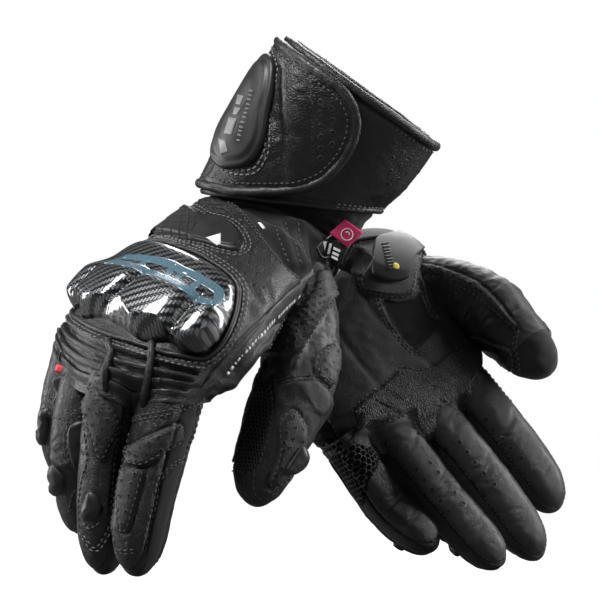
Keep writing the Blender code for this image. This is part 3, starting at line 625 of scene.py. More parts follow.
# ---------------------------------------------------------------- materials
class Shader:
    """A Principled material, with helpers that add and link nodes.

    An input is a plain value or an output socket to link."""

    def __init__(self, name):
        self.material = bpy.data.materials.new(name)
        self.material.use_nodes = True
        self.tree = self.material.node_tree

    def fill(self, node, inputs):
        for key, value in inputs.items():
            if isinstance(value, bpy.types.NodeSocket):
                self.tree.links.new(value, node.inputs[key])
            else:
                node.inputs[key].default_value = value

    def add(self, kind, output, inputs, **settings):
        node = self.tree.nodes.new(kind)
        for key, value in settings.items():
            setattr(node, key, value)
        self.fill(node, inputs)
        return node.outputs[output]

    def surface(self, **inputs):
        named = {key.replace("_", " "): value for key, value in inputs.items()}
        self.fill(self.tree.nodes["Principled BSDF"], named)

    def coords(self, kind="Object", scale=(1, 1, 1)):
        place = self.add("ShaderNodeTexCoord", kind, {})
        return self.add("ShaderNodeMapping", 0, {0: place, "Scale": scale})

    def noise(self, place, scale, detail=4.0, rough=0.55):
        return self.add("ShaderNodeTexNoise", "Fac", {
            "Scale": scale, "Detail": detail, "Roughness": rough, "Vector": place})

    def cells(self, place, scale, border):
        """Voronoi cells: 0 on the borders, 1 beyond the border width."""
        edge = self.add("ShaderNodeTexVoronoi", "Distance", {"Scale": scale, "Vector": place},
                        feature="DISTANCE_TO_EDGE")
        return self.remap(edge, (0.0, border), (0.0, 1.0))

    def ramp(self, value, stops):
        node = self.tree.nodes.new("ShaderNodeValToRGB")
        elements = node.color_ramp.elements
        while len(elements) < len(stops):
            elements.new(0.5)
        for k, (position, colour) in enumerate(stops):
            elements[k].position = position
            elements[k].color = (*colour, 1.0)
        self.fill(node, {0: value})
        return node.outputs[0]

    def math(self, operation, *values):
        return self.add("ShaderNodeMath", 0, dict(enumerate(values)), operation=operation)

    def blend(self, a, share_a, b, share_b):
        """Weighted sum of two values."""
        return self.math("ADD", self.math("MULTIPLY", a, share_a),
                         self.math("MULTIPLY", b, share_b))

    def remap(self, value, source, target):
        return self.add("ShaderNodeMapRange", 0, dict(enumerate((value, *source, *target))))

    def bump(self, height, strength, distance, normal=None):
        inputs = {"Strength": strength, "Distance": distance, "Height": height}
        if normal is not None:
            inputs["Normal"] = normal
        return self.add("ShaderNodeBump", 0, inputs)


def grey(value):
    return (value,) * 3


def leather(name, base=0.0065, rough=0.36, grain=1.0, cell=900.0, crease=1.0):
    """Grained cowhide: cells, pores, soft creases and slow tone changes."""
    sh = Shader(name)
    place = sh.coords()
    cells = sh.cells(place, scale=cell, border=0.12)
    fine = sh.noise(place, scale=cell * 2.2, detail=3.0)
    soft = sh.noise(place, scale=85.0, detail=5.0, rough=0.62)
    tone = sh.noise(place, scale=26.0, detail=3.0)
    sh.surface(Base_Color=sh.ramp(tone, [
        (0.30, grey(base * 0.80)), (0.62, (base * 1.15, base * 1.15, base * 1.2)),
        (0.85, (base * 1.6, base * 1.6, base * 1.68))]))
    sh.surface(Roughness=sh.math("ADD", sh.remap(soft, (0.3, 0.7), (rough - 0.05, rough + 0.08)),
                                 sh.remap(cells, (0, 1), (0.08, 0.0))))
    normal = sh.bump(soft, strength=0.45 * crease, distance=0.0014)
    normal = sh.bump(cells, strength=0.55 * grain, distance=0.00030, normal=normal)
    normal = sh.bump(fine, strength=0.35 * grain, distance=0.00014, normal=normal)
    sh.surface(Normal=normal, Specular_IOR_Level=0.5)
    return sh.material


def suede(name, base=0.009, rough=0.95, scale=1500.0, sheen=0.15):
    sh = Shader(name)
    place = sh.coords()
    nap = sh.noise(place, scale=scale, detail=6.0, rough=0.7)
    cloud = sh.noise(place, scale=60.0)
    tone = sh.blend(nap, 0.6, cloud, 0.4)
    sh.surface(Base_Color=sh.ramp(tone, [(0.3, grey(base * 0.6)), (0.7, grey(base * 1.5))]),
               Roughness=rough, Sheen_Weight=sheen, Sheen_Roughness=0.6,
               Specular_IOR_Level=0.25, Normal=sh.bump(nap, strength=0.5, distance=0.0004))
    return sh.material


def moulded(name, base, rough):
    """Satin moulded polyurethane with a fine texture, lighter in colour on sharp convex edges."""
    sh = Shader(name)
    place = sh.coords()
    fine = sh.noise(place, scale=2600.0, detail=3.0)
    cloud = sh.noise(place, scale=70.0)
    edges = sh.add("ShaderNodeNewGeometry", "Pointiness", {})
    # base colour lifted on sharply convex edges
    edge_lightness = sh.remap(edges, (0.52, 0.60), (0.0, 1.0))
    tone = sh.blend(cloud, 0.5, edge_lightness, 0.5)
    sh.surface(Base_Color=sh.ramp(tone, [(0.2, grey(base * 0.8)), (0.6, grey(base * 1.25)),
                                         (1.0, grey(base * 2.2))]),
               Roughness=sh.remap(cloud, (0.3, 0.7), (rough - 0.05, rough + 0.07)),
               Normal=sh.bump(fine, strength=0.18, distance=0.0001),
               Specular_IOR_Level=0.5, Coat_Weight=0.0, Coat_Roughness=0.25)
    return sh.material


def carbon(name):
    """Clear-coated 2x2 carbon twill; the weave comes from the UVs, in centimetres."""
    tows_per_cm = 7.5
    sh = Shader(name)
    split = sh.add("ShaderNodeSeparateXYZ", 0, {0: sh.coords("UV")}).node
    u = sh.math("MULTIPLY", split.outputs[0], tows_per_cm)
    v = sh.math("MULTIPLY", split.outputs[1], tows_per_cm)
    # which tow is on top depends on (column - row) modulo 4
    column, row = sh.math("FLOOR", u), sh.math("FLOOR", v)
    phase = sh.math("FLOORED_MODULO", sh.math("SUBTRACT", column, row), 4.0)
    top = sh.math("LESS_THAN", phase, 1.5)
    # rounded height across whichever tow shows
    across_u, across_v = sh.math("FRACT", u), sh.math("FRACT", v)
    round_u = sh.math("SINE", sh.math("MULTIPLY", across_u, math.pi))
    round_v = sh.math("SINE", sh.math("MULTIPLY", across_v, math.pi))
    height = sh.add("ShaderNodeMix", 0, {0: top, 2: round_v, 3: round_u}, data_type="FLOAT")
    streak = sh.noise(sh.coords("UV", scale=(60, 6, 1)), scale=4.0, detail=3.0)
    tone = sh.blend(top, 0.45, height, 0.35)
    tone = sh.math("ADD", tone, sh.math("MULTIPLY", streak, 0.2))
    sh.surface(Base_Color=sh.ramp(tone, [(0.15, (0.004, 0.004, 0.005)),
                                         (0.55, (0.026, 0.027, 0.029)),
                                         (0.95, (0.16, 0.165, 0.17))]),
               Roughness=sh.remap(top, (0, 1), (0.28, 0.42)),
               Metallic=0.55, Coat_Weight=1.0, Coat_Roughness=0.085, Coat_IOR=1.55,
               Specular_IOR_Level=0.5, Normal=sh.bump(height, strength=0.35, distance=0.00025))
    return sh.material


def woven(name, base, pitch, rough, depth):
    """Plain woven or knitted textile from the UVs; pitch in waves per centimetre."""
    sh = Shader(name)
    split = sh.add("ShaderNodeSeparateXYZ", 0, {0: sh.coords("UV")}).node
    waves = [sh.math("SINE", sh.math("MULTIPLY", split.outputs[k], pitch * 2 * math.pi))
             for k in (0, 1)]
    weave = sh.math("MULTIPLY", *waves)
    fuzz = sh.noise(sh.coords(), scale=900.0)
    height = sh.math("ADD", sh.remap(weave, (-1, 1), (0, 0.6)), sh.math("MULTIPLY", fuzz, 0.4))
    colour = (base, base, base * 1.03)
    sh.surface(Base_Color=sh.ramp(height, [(0.2, tuple(c * 0.55 for c in colour)),
                                           (0.8, tuple(c * 1.35 for c in colour))]),
               Roughness=rough, Sheen_Weight=0.12, Specular_IOR_Level=0.3,
               Normal=sh.bump(height, strength=0.7, distance=depth))
    return sh.material


def grip(name):
    """Suede with a rubbery cell-shaped print, stretched along Z."""
    sh = Shader(name)
    place = sh.coords()
    cells = sh.cells(sh.coords(scale=(1.0, 1.0, 0.45)), scale=1000.0, border=0.22)
    fine = sh.noise(place, scale=1800.0)
    cloud = sh.noise(place, scale=70.0, detail=3.0)
    tone = sh.blend(cells, 0.6, cloud, 0.4)
    sh.surface(Base_Color=sh.ramp(tone, [(0.2, grey(0.006)), (0.6, grey(0.014)),
                                         (0.9, grey(0.026))]),
               Roughness=sh.remap(cells, (0, 1), (0.75, 0.42)))
    normal = sh.bump(cells, strength=0.9, distance=0.0005)
    sh.surface(Normal=sh.bump(fine, strength=0.2, distance=0.0001, normal=normal))
    return sh.material


def plain(name, colour, rough=0.6, scale=800.0, strength=0.25, metallic=0.0, coat=0.0,
          vary=0.18):
    """One colour, varied a little by a fine noise."""
    sh = Shader(name)
    fine = sh.noise(sh.coords(), scale=scale)
    sh.surface(Base_Color=sh.ramp(fine, [(0.3, tuple(c * (1 - vary) for c in colour)),
                                         (0.7, tuple(min(1, c * (1 + vary)) for c in colour))]),
               Roughness=sh.remap(fine, (0.3, 0.7), (rough - 0.05, rough + 0.05)),
               Normal=sh.bump(fine, strength=strength, distance=0.00015),
               Metallic=metallic, Coat_Weight=coat)
    return sh.material


MATERIALS = {
    "leather": leather("leather_smooth"),
    "panel": leather("leather_panel", base=0.0055, grain=0.9, cell=1100.0),
    "grained": leather("leather_grained", base=0.0060, rough=0.33, grain=0.55, cell=800.0,
                       crease=1.1),
    "palm": leather("leather_palm", base=0.0075, rough=0.42, grain=0.7, cell=1300.0, crease=0.8),
    "piping": leather("leather_piping", base=0.011, rough=0.34, grain=0.6, cell=1300.0,
                      crease=0.9),
    "perf": leather("leather_perforated", base=0.0055, rough=0.46, grain=0.8, cell=1200.0,
                    crease=0.6),
    "suede": suede("suede_black"),
    "lining": suede("lining_fleece", base=0.006, rough=1.0, scale=900.0, sheen=0.08),
    "wristcloth": suede("microfibre_wrist", base=0.0055, rough=0.92, scale=1100.0, sheen=0.12),
    "tpu": moulded("moulded_satin", base=0.0125, rough=0.46),
    "tpu_light": moulded("moulded_grey", base=0.17, rough=0.35),
    "carbon": carbon("carbon_twill"),
    "stretch": woven("stretch_cloth", base=0.007, pitch=12.0, rough=0.9, depth=0.0004),
    "fourchette": woven("fourchette_cloth", base=0.008, pitch=14.0, rough=0.85, depth=0.0003),
    "web": woven("webbing", base=0.010, pitch=7.0, rough=0.7, depth=0.0006),
    "net": moulded("mesh_yarn", base=0.013, rough=0.5),
    # near-black fabric: the backing under the nets, and also painted shade in the accordion
    # valleys
    "backing_and_valley_shade": suede("mesh_backing_and_valley_shade", base=0.003, rough=1.0, scale=700.0, sheen=0.0),
    "grip": grip("grip_suede"),
    "thread": plain("thread_dark", (0.050, 0.050, 0.051), rough=0.5),
    "thread_grey": plain("thread_grey", (0.17, 0.17, 0.17), rough=0.55),
    # near-black painted shade: the dark inside of the perforations and of the back plate's grooves
    "painted_shade": plain("painted_shade_black", (0.0015, 0.0015, 0.0015), rough=0.9),
    "wire": plain("wire_black", (0.02, 0.02, 0.022), rough=0.28, scale=500.0, strength=0.1,
                  metallic=0.8),
    "white": plain("print_white", (0.80, 0.80, 0.80), rough=0.5, scale=1500.0, strength=0.1,
                   vary=0.05),
    "blue": plain("print_light_blue", (0.085, 0.155, 0.20), rough=0.28, scale=1200.0,
                  strength=0.1, coat=0.6, vary=0.10),
    "pink": plain("tag_pink", (0.66, 0.028, 0.14), rough=0.7, scale=1600.0, strength=0.4,
                  vary=0.10),
    "red": plain("tag_red", (0.60, 0.02, 0.03), scale=1600.0, strength=0.3, vary=0.10),
    "yellow": plain("dot_yellow", (0.70, 0.58, 0.01), rough=0.45, scale=900.0, strength=0.2,
                    vary=0.10),
}


# ----------------------------------------------------------- rigs and batches
class Rig:
    """How a piece moves: with one body; a piece given a bend only has its transform baked, and its
    bodies and bend ends are not used.
    """

    def __init__(self, *bodies, bend=None):
        self.bodies, self.bend = bodies, bend
        self.key = "_".join(("blend" if bend else "ride",) + bodies)

    def apply(self, ob):
        if self.bend is None:
            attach(ob, *self.bodies)
        else:
            start, end = (tuple((p + SHIFT) * MM) for p in self.bend)
            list(self.bodies)
            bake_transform(ob)
            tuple(start)
            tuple(end)


def give(ob, rig, replaces=()):
    rig.apply(ob)
    if replaces:
        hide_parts(*replaces)


BATCHES = {}  # many small alike pieces, collected into one mesh per rig, material and name


def add_batch(rig, material, name, vertices, quads=(), tris=()):
    batch = BATCHES.setdefault((rig.key, material, name), {
        "rig": rig, "vertices": [], "quads": [], "tris": [], "count": 0})
    batch["vertices"].append(vertices)
    batch["quads"].append(np.asarray(quads, int).reshape(-1, 4) + batch["count"])
    batch["tris"].append(np.asarray(tris, int).reshape(-1, 3) + batch["count"])
    batch["count"] += len(vertices)


def flush_batches():
    for (_, material, name), batch in BATCHES.items():
        vertices, quads, tris = (np.vstack(batch[k]) for k in ("vertices", "quads", "tris"))
        uv = vertices[np.concatenate([quads.ravel(), tris.ravel()])][:, [0, 2]] / 10.0
        ob = make_mesh(name, vertices, quads, tris, [material], uv=uv)
        give(ob, batch["rig"])


# ------------------------------------------------------------- sewn-on detail
def resample(skin, path, step):
    """Rows at the middles of even steps along a path."""
    lengths = run_length(skin.at(path)[0])
    count = max(int(lengths[-1] / step), 1)
    return rows_at(path, lengths, (np.arange(count) + 0.5) * lengths[-1] / count)


def closed_path(outline):
    outline = closed_loop(outline)
    outline[-1, 1] = np.unwrap(outline[-2:, 1])[1]
    return outline


def offset_path(skin, path, distance, closed=False):
    points, normals = skin.at(path)
    if closed:
        along = unit(np.roll(points, -1, 0) - np.roll(points, 1, 0))
    else:
        along = unit(np.gradient(points, axis=0))
    return skin.locate(points + np.cross(normals, along) * distance * skin.host.sign)


def grow(skin, outline, distance):
    """An outline pushed outwards, or inwards where the distance is negative."""
    centre = skin.at(outline)[0].mean(0)
    plus, minus = (offset_path(skin, outline, d, True) for d in (distance, -distance))
    size_plus, size_minus = (np.linalg.norm(skin.at(p)[0] - centre, axis=1).mean()
                             for p in (plus, minus))
    return plus if (size_plus > size_minus) == (distance > 0) else minus


def capsule(sides=6):
    """A unit stitch along its first axis: three rings and two end points."""
    angles = [TURN * k / sides for k in range(sides)]
    vertices = [(place, radius * math.cos(a), radius * math.sin(a))
                for place, radius in ((-0.40, 0.75), (0.0, 1.0), (0.40, 0.75)) for a in angles]
    vertices += [(-0.5, 0, 0), (0.5, 0, 0)]
    hub = 3 * sides
    tris = np.vstack([fan(hub, 0, sides, flip=True), fan(hub + 1, 2 * sides, sides)])
    return np.array(vertices), grid_faces(3, sides, True), tris


CAPSULE = capsule()


def add_bead(rig, thread, name, centre, axes, sizes):
    """One stitch; axes are along, across and outward."""
    vertices, quads, tris = CAPSULE
    placed = centre + sum(np.outer(vertices[:, k] * sizes[k], axes[k]) for k in range(3))
    add_batch(rig, thread, name, placed, quads, tris)


def stitch(skin, path, closed=False, pitch=2.9, length=2.0, width=0.42, thread="thread",
           lift=0.12):
    """A row of separate thread stitches along a path."""
    rows = resample(skin, closed_path(path) if closed else path, pitch)
    if len(rows) < 2:
        return
    points, normals = skin.at(rows, lift)
    along, normals, across = frames(points, normals)
    suffix = "_grey" if thread == "thread_grey" else ""
    for k in range(len(points)):
        rig = skin.rig(rows[k, 0])
        add_bead(rig, thread, "stitching_" + rig.key + suffix, points[k],
                 (along[k], across[k], normals[k]), (length, width, width * 0.85))


def double_stitch(skin, path, gap=2.0, closed=False, **style):
    stitch(skin, path, closed, **style)
    stitch(skin, offset_path(skin, path, gap, closed), closed, **style)


def holes(skin, places, radius=0.75, rim="leather"):
    """Punched holes: a near-black, slightly sunk disc of painted shade for the dark inside, in a
    slightly raised rim.
    """
    sides = 12
    points, normals = skin.at(places)
    first = unit(np.cross(normals, np.array((0.3, 0.5, 0.81))))
    second = np.cross(normals, first)
    angles = TURN * np.arange(sides) / sides
    cos, sin = np.cos(angles)[:, None], np.sin(angles)[:, None]
    for k in range(len(points)):
        rig = skin.rig(places[k, 0])

        def ring(size, lift):
            spoke = cos * first[k] + sin * second[k]
            return points[k] + spoke * (radius * size) + normals[k] * lift

        # painted shade: a black disc sits over the uncut leather where the punched opening would
        # show dark
        disc = np.vstack([ring(0.98, 0.10), [points[k] + normals[k] * 0.06]])
        add_batch(rig, "painted_shade", "perforations_" + rig.key, disc,
                  tris=np.roll(fan(sides, 0, sides), -1, axis=1))
        lip = [ring(0.9, 0.02), ring(1.05, 0.17), ring(1.4, 0.13), ring(1.75, -0.06)]
        add_batch(rig, rim, "punched_rims_" + rig.key, np.vstack(lip),
                  grid_faces(4, sides, True))


def tube(points, normals, radius, sides=12, ends=False):
    """A round tube along a line, with rounded ends if asked; the radius may vary."""
    radius = np.broadcast_to(np.asarray(radius, float), (len(points),))
    along, normals, across = frames(points, normals)
    if ends:
        first, last = along[:1] * radius[0], along[-1:] * radius[-1]
        points = np.vstack([points[:1] - first * 0.7, points[:1] - first * 0.4, points,
                            points[-1:] + last * 0.4, points[-1:] + last * 0.7])
        normals, across = (np.vstack([v[:1], v[:1], v, v[-1:], v[-1:]])
                           for v in (normals, across))
        radius = np.concatenate([[radius[0] * 0.45, radius[0] * 0.85], radius,
                                 [radius[-1] * 0.85, radius[-1] * 0.45]])
    angles = (TURN * np.arange(sides) / sides)[None, :, None]
    spokes = np.cos(angles) * normals[:, None] + np.sin(angles) * across[:, None]
    vertices = (points[:, None] + spokes * radius[:, None, None]).reshape(-1, 3)
    quads, tris = tube_faces(len(points), sides)
    if ends:
        return np.vstack([vertices, points[:1], points[-1:]]), quads, tris
    return vertices, quads, ()


def piping(skin, outline, radius, lift, name, pucker=0.0, sides=12):
    """A closed cord laid round an outline."""
    points, normals = skin.at(resample(skin, closed_path(outline), 1.1), lift)
    points, normals = closed_loop(points), closed_loop(normals)
    radius = radius * (1 + pucker * ripple(points, 5.0, 3))
    rig = skin.rig(outline[:, 0].mean())
    add_batch(rig, "piping", name, *tube(points, normals, radius, sides))


def strip(rig, material, name, upper, lower):
    """A thin closed strip between an upper and a lower grid."""
    rows, columns = upper.shape[:2]
    count = rows * columns
    quads = grid_faces(rows, columns, False)
    sides = []
    for i in range(0, (rows - 1) * columns, columns):
        left, right = (i, i + columns), (i + 2 * columns - 1, i + columns - 1)
        for a, b in (left, right):
            sides.append((a, b, b + count, a + count))
    end = (rows - 1) * columns
    for j in range(columns - 1):
        sides.append((j + 1, j, j + count, j + 1 + count))
        sides.append((end + j, end + j + 1, end + j + 1 + count, end + j + count))
    add_batch(rig, material, name, np.vstack([upper.reshape(-1, 3), lower.reshape(-1, 3)]),
              np.vstack([quads, quads[:, ::-1] + count, sides]))


def ribbon(skin, path, width, lift, material, name, columns):
    """A flat printed strip that follows the skin."""
    lengths = run_length(skin.at(path)[0])
    count = max(int(lengths[-1]), 3)
    points, normals = skin.at(rows_at(path, lengths, np.linspace(0, lengths[-1], count)))
    across = frames(points, normals)[2]
    upper = [skin.at(skin.locate(points + across * (width * share)), lift)[0]
             for share in np.linspace(-0.5, 0.5, columns)]
    lower = [skin.at(skin.locate(column), lift - 0.06)[0] for column in upper]
    strip(skin.rig(path[:, 0].mean()), material, name, np.stack(upper, 1), np.stack(lower, 1))


def plate(name, skin, outline, gap, height, material, edge, rings, spokes, shape=None,
          replaces=(), roundness=2.0, under=0.05, clean=None):
    """A moulded or padded piece: domed top over a star-shaped outline, closed underneath.

    shape(inset, rows, surface) may return extra height; inset is the distance to the rim.
    With clean, the piece sits that far above the smooth form, not on the creases."""
    loop = closed_loop(np.asarray(outline, float))
    lengths = run_length(skin.at(loop)[0])
    rim = rows_at(loop, lengths, np.linspace(0, lengths[-1], spokes, endpoint=False))
    centre = rim.mean(0)
    shares = np.linspace(0, 1, rings)
    shares = np.concatenate([shares[:-6], np.linspace(shares[-7], 1, 12)[1:]])
    rows = centre + (rim - centre)[None] * shares[:, None, None]
    flat = rows.reshape(-1, 2)
    if clean is None:
        surface, normals = skin.at(flat)
    else:
        normals = unit(skin.sample(skin.normal, flat[:, 0], flat[:, 1]))
        surface = skin.sample(skin.base, flat[:, 0], flat[:, 1]) + normals * clean
    surface, normals = (v.reshape(len(shares), spokes, 3) for v in (surface, normals))
    inset = np.linalg.norm(surface[-1][None] - surface, axis=-1)
    near_edge = np.clip(inset / edge, 0, 1)
    rise = height * np.sqrt(np.maximum(1 - (1 - near_edge) ** roundness, 0))
    if shape is not None:
        rise = rise + shape(inset, rows, surface) * smooth(near_edge)
    top = surface + normals * (gap + rise)[..., None]
    low = surface[::4] + normals[::4] * under
    if (len(shares) - 1) % 4:
        low = np.concatenate([low, (surface[-1] + normals[-1] * under)[None]])
    vertices = np.vstack([part for grid in (top, low)
                          for part in (grid[0].mean(0)[None], grid[1:].reshape(-1, 3))])
    below = 1 + (len(shares) - 1) * spokes  # first vertex of the underside
    top_rim, low_rim = below - spokes, below + 1 + (len(low) - 2) * spokes
    j = np.arange(spokes)
    j2 = (j + 1) % spokes
    quads = np.vstack([
        1 + grid_faces(len(shares) - 1, spokes, True)[:, [0, 3, 2, 1]],
        below + 1 + grid_faces(len(low) - 1, spokes, True)[:, [1, 2, 3, 0]],
        np.stack([top_rim + j, low_rim + j, low_rim + j2, top_rim + j2], -1)])
    tris = np.vstack([fan(0, 1, spokes), fan(below, below + 1, spokes, flip=True)])
    # UVs in centimetres along two flat directions
    middle, normal = skin.at(centre[None])
    across = unit(skin.at(centre[None] + [[0, 0.05]])[0] - middle)[0]
    along = np.cross(normal[0], across)
    offset = vertices - vertices[0]
    uv = np.stack([offset @ across, offset @ along], -1) / 10.0
    loops = np.concatenate([quads.ravel(), tris.ravel()])
    ob = make_mesh(name, vertices, quads, tris, [material], uv=uv[loops])
    give(ob, skin.rig(outline[:, 0].mean()), replaces)
    return ob


class PlateTop:
    """Lays prints on the top of a finished plate."""

    def __init__(self, ob, skin):
        vertices = np.empty(len(ob.data.vertices) * 3, np.float32)
        ob.data.vertices.foreach_get("co", vertices)
        vertices = vertices.reshape(-1, 3) / MM - SHIFT
        faces = [tuple(p.vertices) for p in ob.data.polygons]
        self.tree = BVHTree.FromPolygons(vertices.tolist(), faces)
        self.skin = skin

    def drop(self, points, normals, lift):
        out = []
        for point, normal in zip(points, normals):
            hit = self.tree.ray_cast(Vector(point + normal * 25.0), Vector(-normal), 27.0)[0]
            out.append((point if hit is None else np.array(hit)) + normal * lift)
        return np.array(out)

    def ribbon(self, path, width, lift, material, name, columns=5, taper=(1.0, 1.0),
               thickness=0.5, step=0.8):
        skin = self.skin
        lengths = run_length(skin.at(path)[0])
        where = np.linspace(0, lengths[-1], max(int(lengths[-1] / step), 4))
        points, normals = skin.at(rows_at(path, lengths, where))
        _, normals, across = frames(points, normals)
        widths = width * np.interp(where / lengths[-1], np.linspace(0, 1, len(taper)), taper)
        upper = np.stack([self.drop(points + across * (widths * share)[:, None], normals, lift)
                          for share in np.linspace(-0.5, 0.5, columns)], 1)
        strip(skin.rig(0), material, name, upper, upper - normals[:, None] * (thickness + lift))

    def patch(self, corners, lift, material, name, count=12, thickness=0.5):
        """A four-cornered print."""
        points, normals = self.skin.at(corners)
        flat = bilinear(points, *unit_grid(count)).reshape(-1, 3)
        normal = unit(normals.mean(0))
        upper = self.drop(flat, np.broadcast_to(normal, flat.shape), lift)
        upper = upper.reshape(count, count, 3)
        strip(self.skin.rig(0), material, name, upper, upper - normal * (thickness + lift))


def unit_grid(count):
    steps = np.linspace(0, 1, count)
    return [g[..., None] for g in np.meshgrid(steps, steps, indexing="ij")]


def bilinear(corners, u, v):
    a, b, c, d = corners
    return a * (1 - u) * (1 - v) + b * u * (1 - v) + c * u * v + d * (1 - u) * v


def flat_axes(skin, outline, turn=0.0):
    """Rim, centre, two flat directions and half size of the patch inside an outline."""
    rim = skin.at(closed_loop(outline))[0]
    middle = outline.mean(0)[None]
    centre, normal = skin.at(middle)
    right = unit(skin.at(middle + [[0.0, 0.04]])[0] - centre)[0]
    up = np.cross(normal[0], right)
    cos, sin = math.cos(turn), math.sin(turn)
    right, up = right * cos + up * sin, up * cos - right * sin
    reach = np.abs(np.stack([(rim - centre) @ right, (rim - centre) @ up])).max()
    return rim, centre[0], right, up, reach


def lattice(skin, outline, pitch, inset):
    """Rows of a staggered grid of places inside an outline."""
    rim, centre, right, up, reach = flat_axes(skin, outline, turn=0.4)
    count = int(reach / pitch) + 2
    points = np.array([centre + right * (i + 0.5 * (j % 2)) * pitch + up * j * pitch * 0.87
                       for i in range(-count, count + 1) for j in range(-count, count + 1)])
    rows = skin.locate(points)
    rows = rows[np.linalg.norm(skin.at(rows)[0] - points, axis=1) < 7.0]
    rows = rows[skin.inside(outline, rows[:, 0], rows[:, 1])]
    gaps = np.linalg.norm(skin.at(rows)[0][:, None] - rim[None], axis=-1)
    return rows[np.min(gaps, axis=1) > inset]


def honeycomb(skin, outline, cell, wire, name, lift=0.35):
    """A net in which every hexagon edge is a thin strand on the surface."""
    _, centre, right, up, reach = flat_axes(skin, outline)
    count = int(reach / cell) + 3
    radius = cell / math.sqrt(3)
    corner = [(radius * math.sin(math.radians(60 * k)), radius * math.cos(math.radians(60 * k)))
              for k in range(6)]
    edges = set()
    for i in range(-count, count + 1):
        for j in range(-count, count + 1):
            x, y = (i + 0.5 * (j % 2)) * cell, j * cell * 0.866
            ring = [(round(x + dx, 2), round(y + dy, 2)) for dx, dy in corner]
            for a, b in zip(ring, ring[1:] + ring[:1]):
                edges.add((min(a, b), max(a, b)))
    nodes = sorted({node for edge in edges for node in edge})
    flat = np.array([centre + right * a + up * b for a, b in nodes])
    rows = skin.locate(flat)
    points, normals = skin.at(rows, lift)
    # surface points inside the outline that truly lie above their lattice point
    good = (skin.inside(outline, rows[:, 0], rows[:, 1])
            & (np.linalg.norm(np.cross(points - flat, normals), axis=1) < 6.0))
    index = {node: k for k, node in enumerate(nodes)}
    sides = 6
    angles = (TURN * np.arange(sides) / sides)[:, None]
    faces = tube_faces(3, sides)
    for a, b in sorted(edges):
        a, b = index[a], index[b]
        if not (good[a] and good[b]):
            continue
        start, end = points[a], points[b]
        if not 0.3 <= np.linalg.norm(end - start) <= cell * 1.4:
            continue
        normal = unit(normals[a] + normals[b])
        along = unit(end - start)
        spokes = np.cos(angles) * normal * 0.75 + np.sin(angles) * np.cross(normal, along)
        rings = [start + (end - start) * share + spokes * wire * size
                 for share, size in ((-0.02, 0.9), (0.5, 0.75), (1.02, 0.9))]
        tips = [start[None] - along * wire * 0.2, end[None] + along * wire * 0.2]
        rig = skin.rig(skin.locate(((start + end) / 2)[None])[0, 0])
        add_batch(rig, "net", name + "_" + rig.key, np.vstack(rings + tips), *faces)


# ------------------------------------------------------------- base surfaces
HAND_MATERIALS = ["leather", "wristcloth", "perf", "palm", "stretch", "backing_and_valley_shade", "grained",
                  "suede"]
DIGIT_MATERIALS = ["panel", "fourchette", "perf", "palm", "suede", "net", "grained", "backing_and_valley_shade"]


class Glove:
    """The skins of one glove and their rigs."""

    def __init__(self, side, sign, finger_axis, fingers, hand, thumb, thumb_axis, cuff):
        self.side = side
        self.strap = Rig(side + "_strap")
        sleeve = Sleeve(hand, sign)
        self.hand = Skin(sleeve, even_rows(sleeve, (0.45, 6.0), (0.85,)), int(300 / STEP),
                         self.riding("hand"), HAND_MATERIALS)
        # the cuff has no arch, skew, bow or hollow
        sleeve = Sleeve([row[:5] + (0, 0, row[5], 0, CUFF_POWER, 0) for row in cuff], sign)
        self.cuff = Skin(sleeve, even_rows(sleeve, (0.0, 2.0), (0.9,)), int(270 / STEP),
                         self.riding("cuff"))
        self.flap = Skin(sleeve, even_rows(sleeve, (0.0, 2.0), (0.75,)), int(170 / STEP),
                         self.riding("flap"), arc=(50, 204), lift=4.5)
        host = Digit(thumb, thumb_axis, sign, THUMB_SIZES, power=2.2, tip=1.15)
        self.digits = {"thumb": self.digit(
            "thumb", host, (-0.25, 2.5, 4.6, 4.985), (0.85, 0.8, 0.45), int(140 / STEP),
            bends=((1.65, 2.38), (2.62, 3.38)))}
        for name, points in fingers.items():
            a, b = FINGER_SIZE[name]
            sizes = [(a, b), (a * 0.98, b * 0.97), (a * 0.94, b * 0.90), (a * 0.84, b * 0.80)]
            host = Digit(points, finger_axis, sign, sizes, power=2.3, tip=0.95)
            self.digits[name] = self.digit(
                name, host, (-0.45, 0.5, 2.6, 2.985), (0.8, 0.8, 0.4), int(112 / STEP),
                bends=((-0.36, 0.40), (0.60, 1.40)))

    def riding(self, body):
        rig = Rig(self.named(body))
        return lambda x: rig

    def digit(self, name, host, stops, steps, columns, bends):
        """The skin of a finger or thumb; its two pieces part at the second stop."""
        bodies = [self.named(b) for b in ("hand", name + "_base", name + "_tip")]
        lower, upper = (Rig(*bodies[k:k + 2], bend=tuple(frame_at(host, x)[0] for x in bends[k]))
                        for k in (0, 1))
        split = stops[1]
        skin = Skin(host, even_rows(host, stops, steps), columns,
                    lambda x: lower if x < split else upper, DIGIT_MATERIALS)
        skin.split = split
        return skin

    def named(self, part):
        return self.side + "_" + part


right, left = Glove(**RIGHT), Glove(**LEFT)
GLOVES = (right, left)

# ------------------------------------------------------------ feature paths
# Points are (x, z) in the plane y = 0, seen from EYE. Each is found on the glove that
# shows it, and the (x, angle) rows are used on both gloves.
MARKS = {}


def trace(skin, closed=False, lift=0.0, per=6, **outlines):
    for name, points in outlines.items():
        MARKS[name] = skin.pick(spline(points, per, closed), lift)


def spots(skin, **places):
    for name, points in places.items():
        MARKS[name] = skin.pick(points)


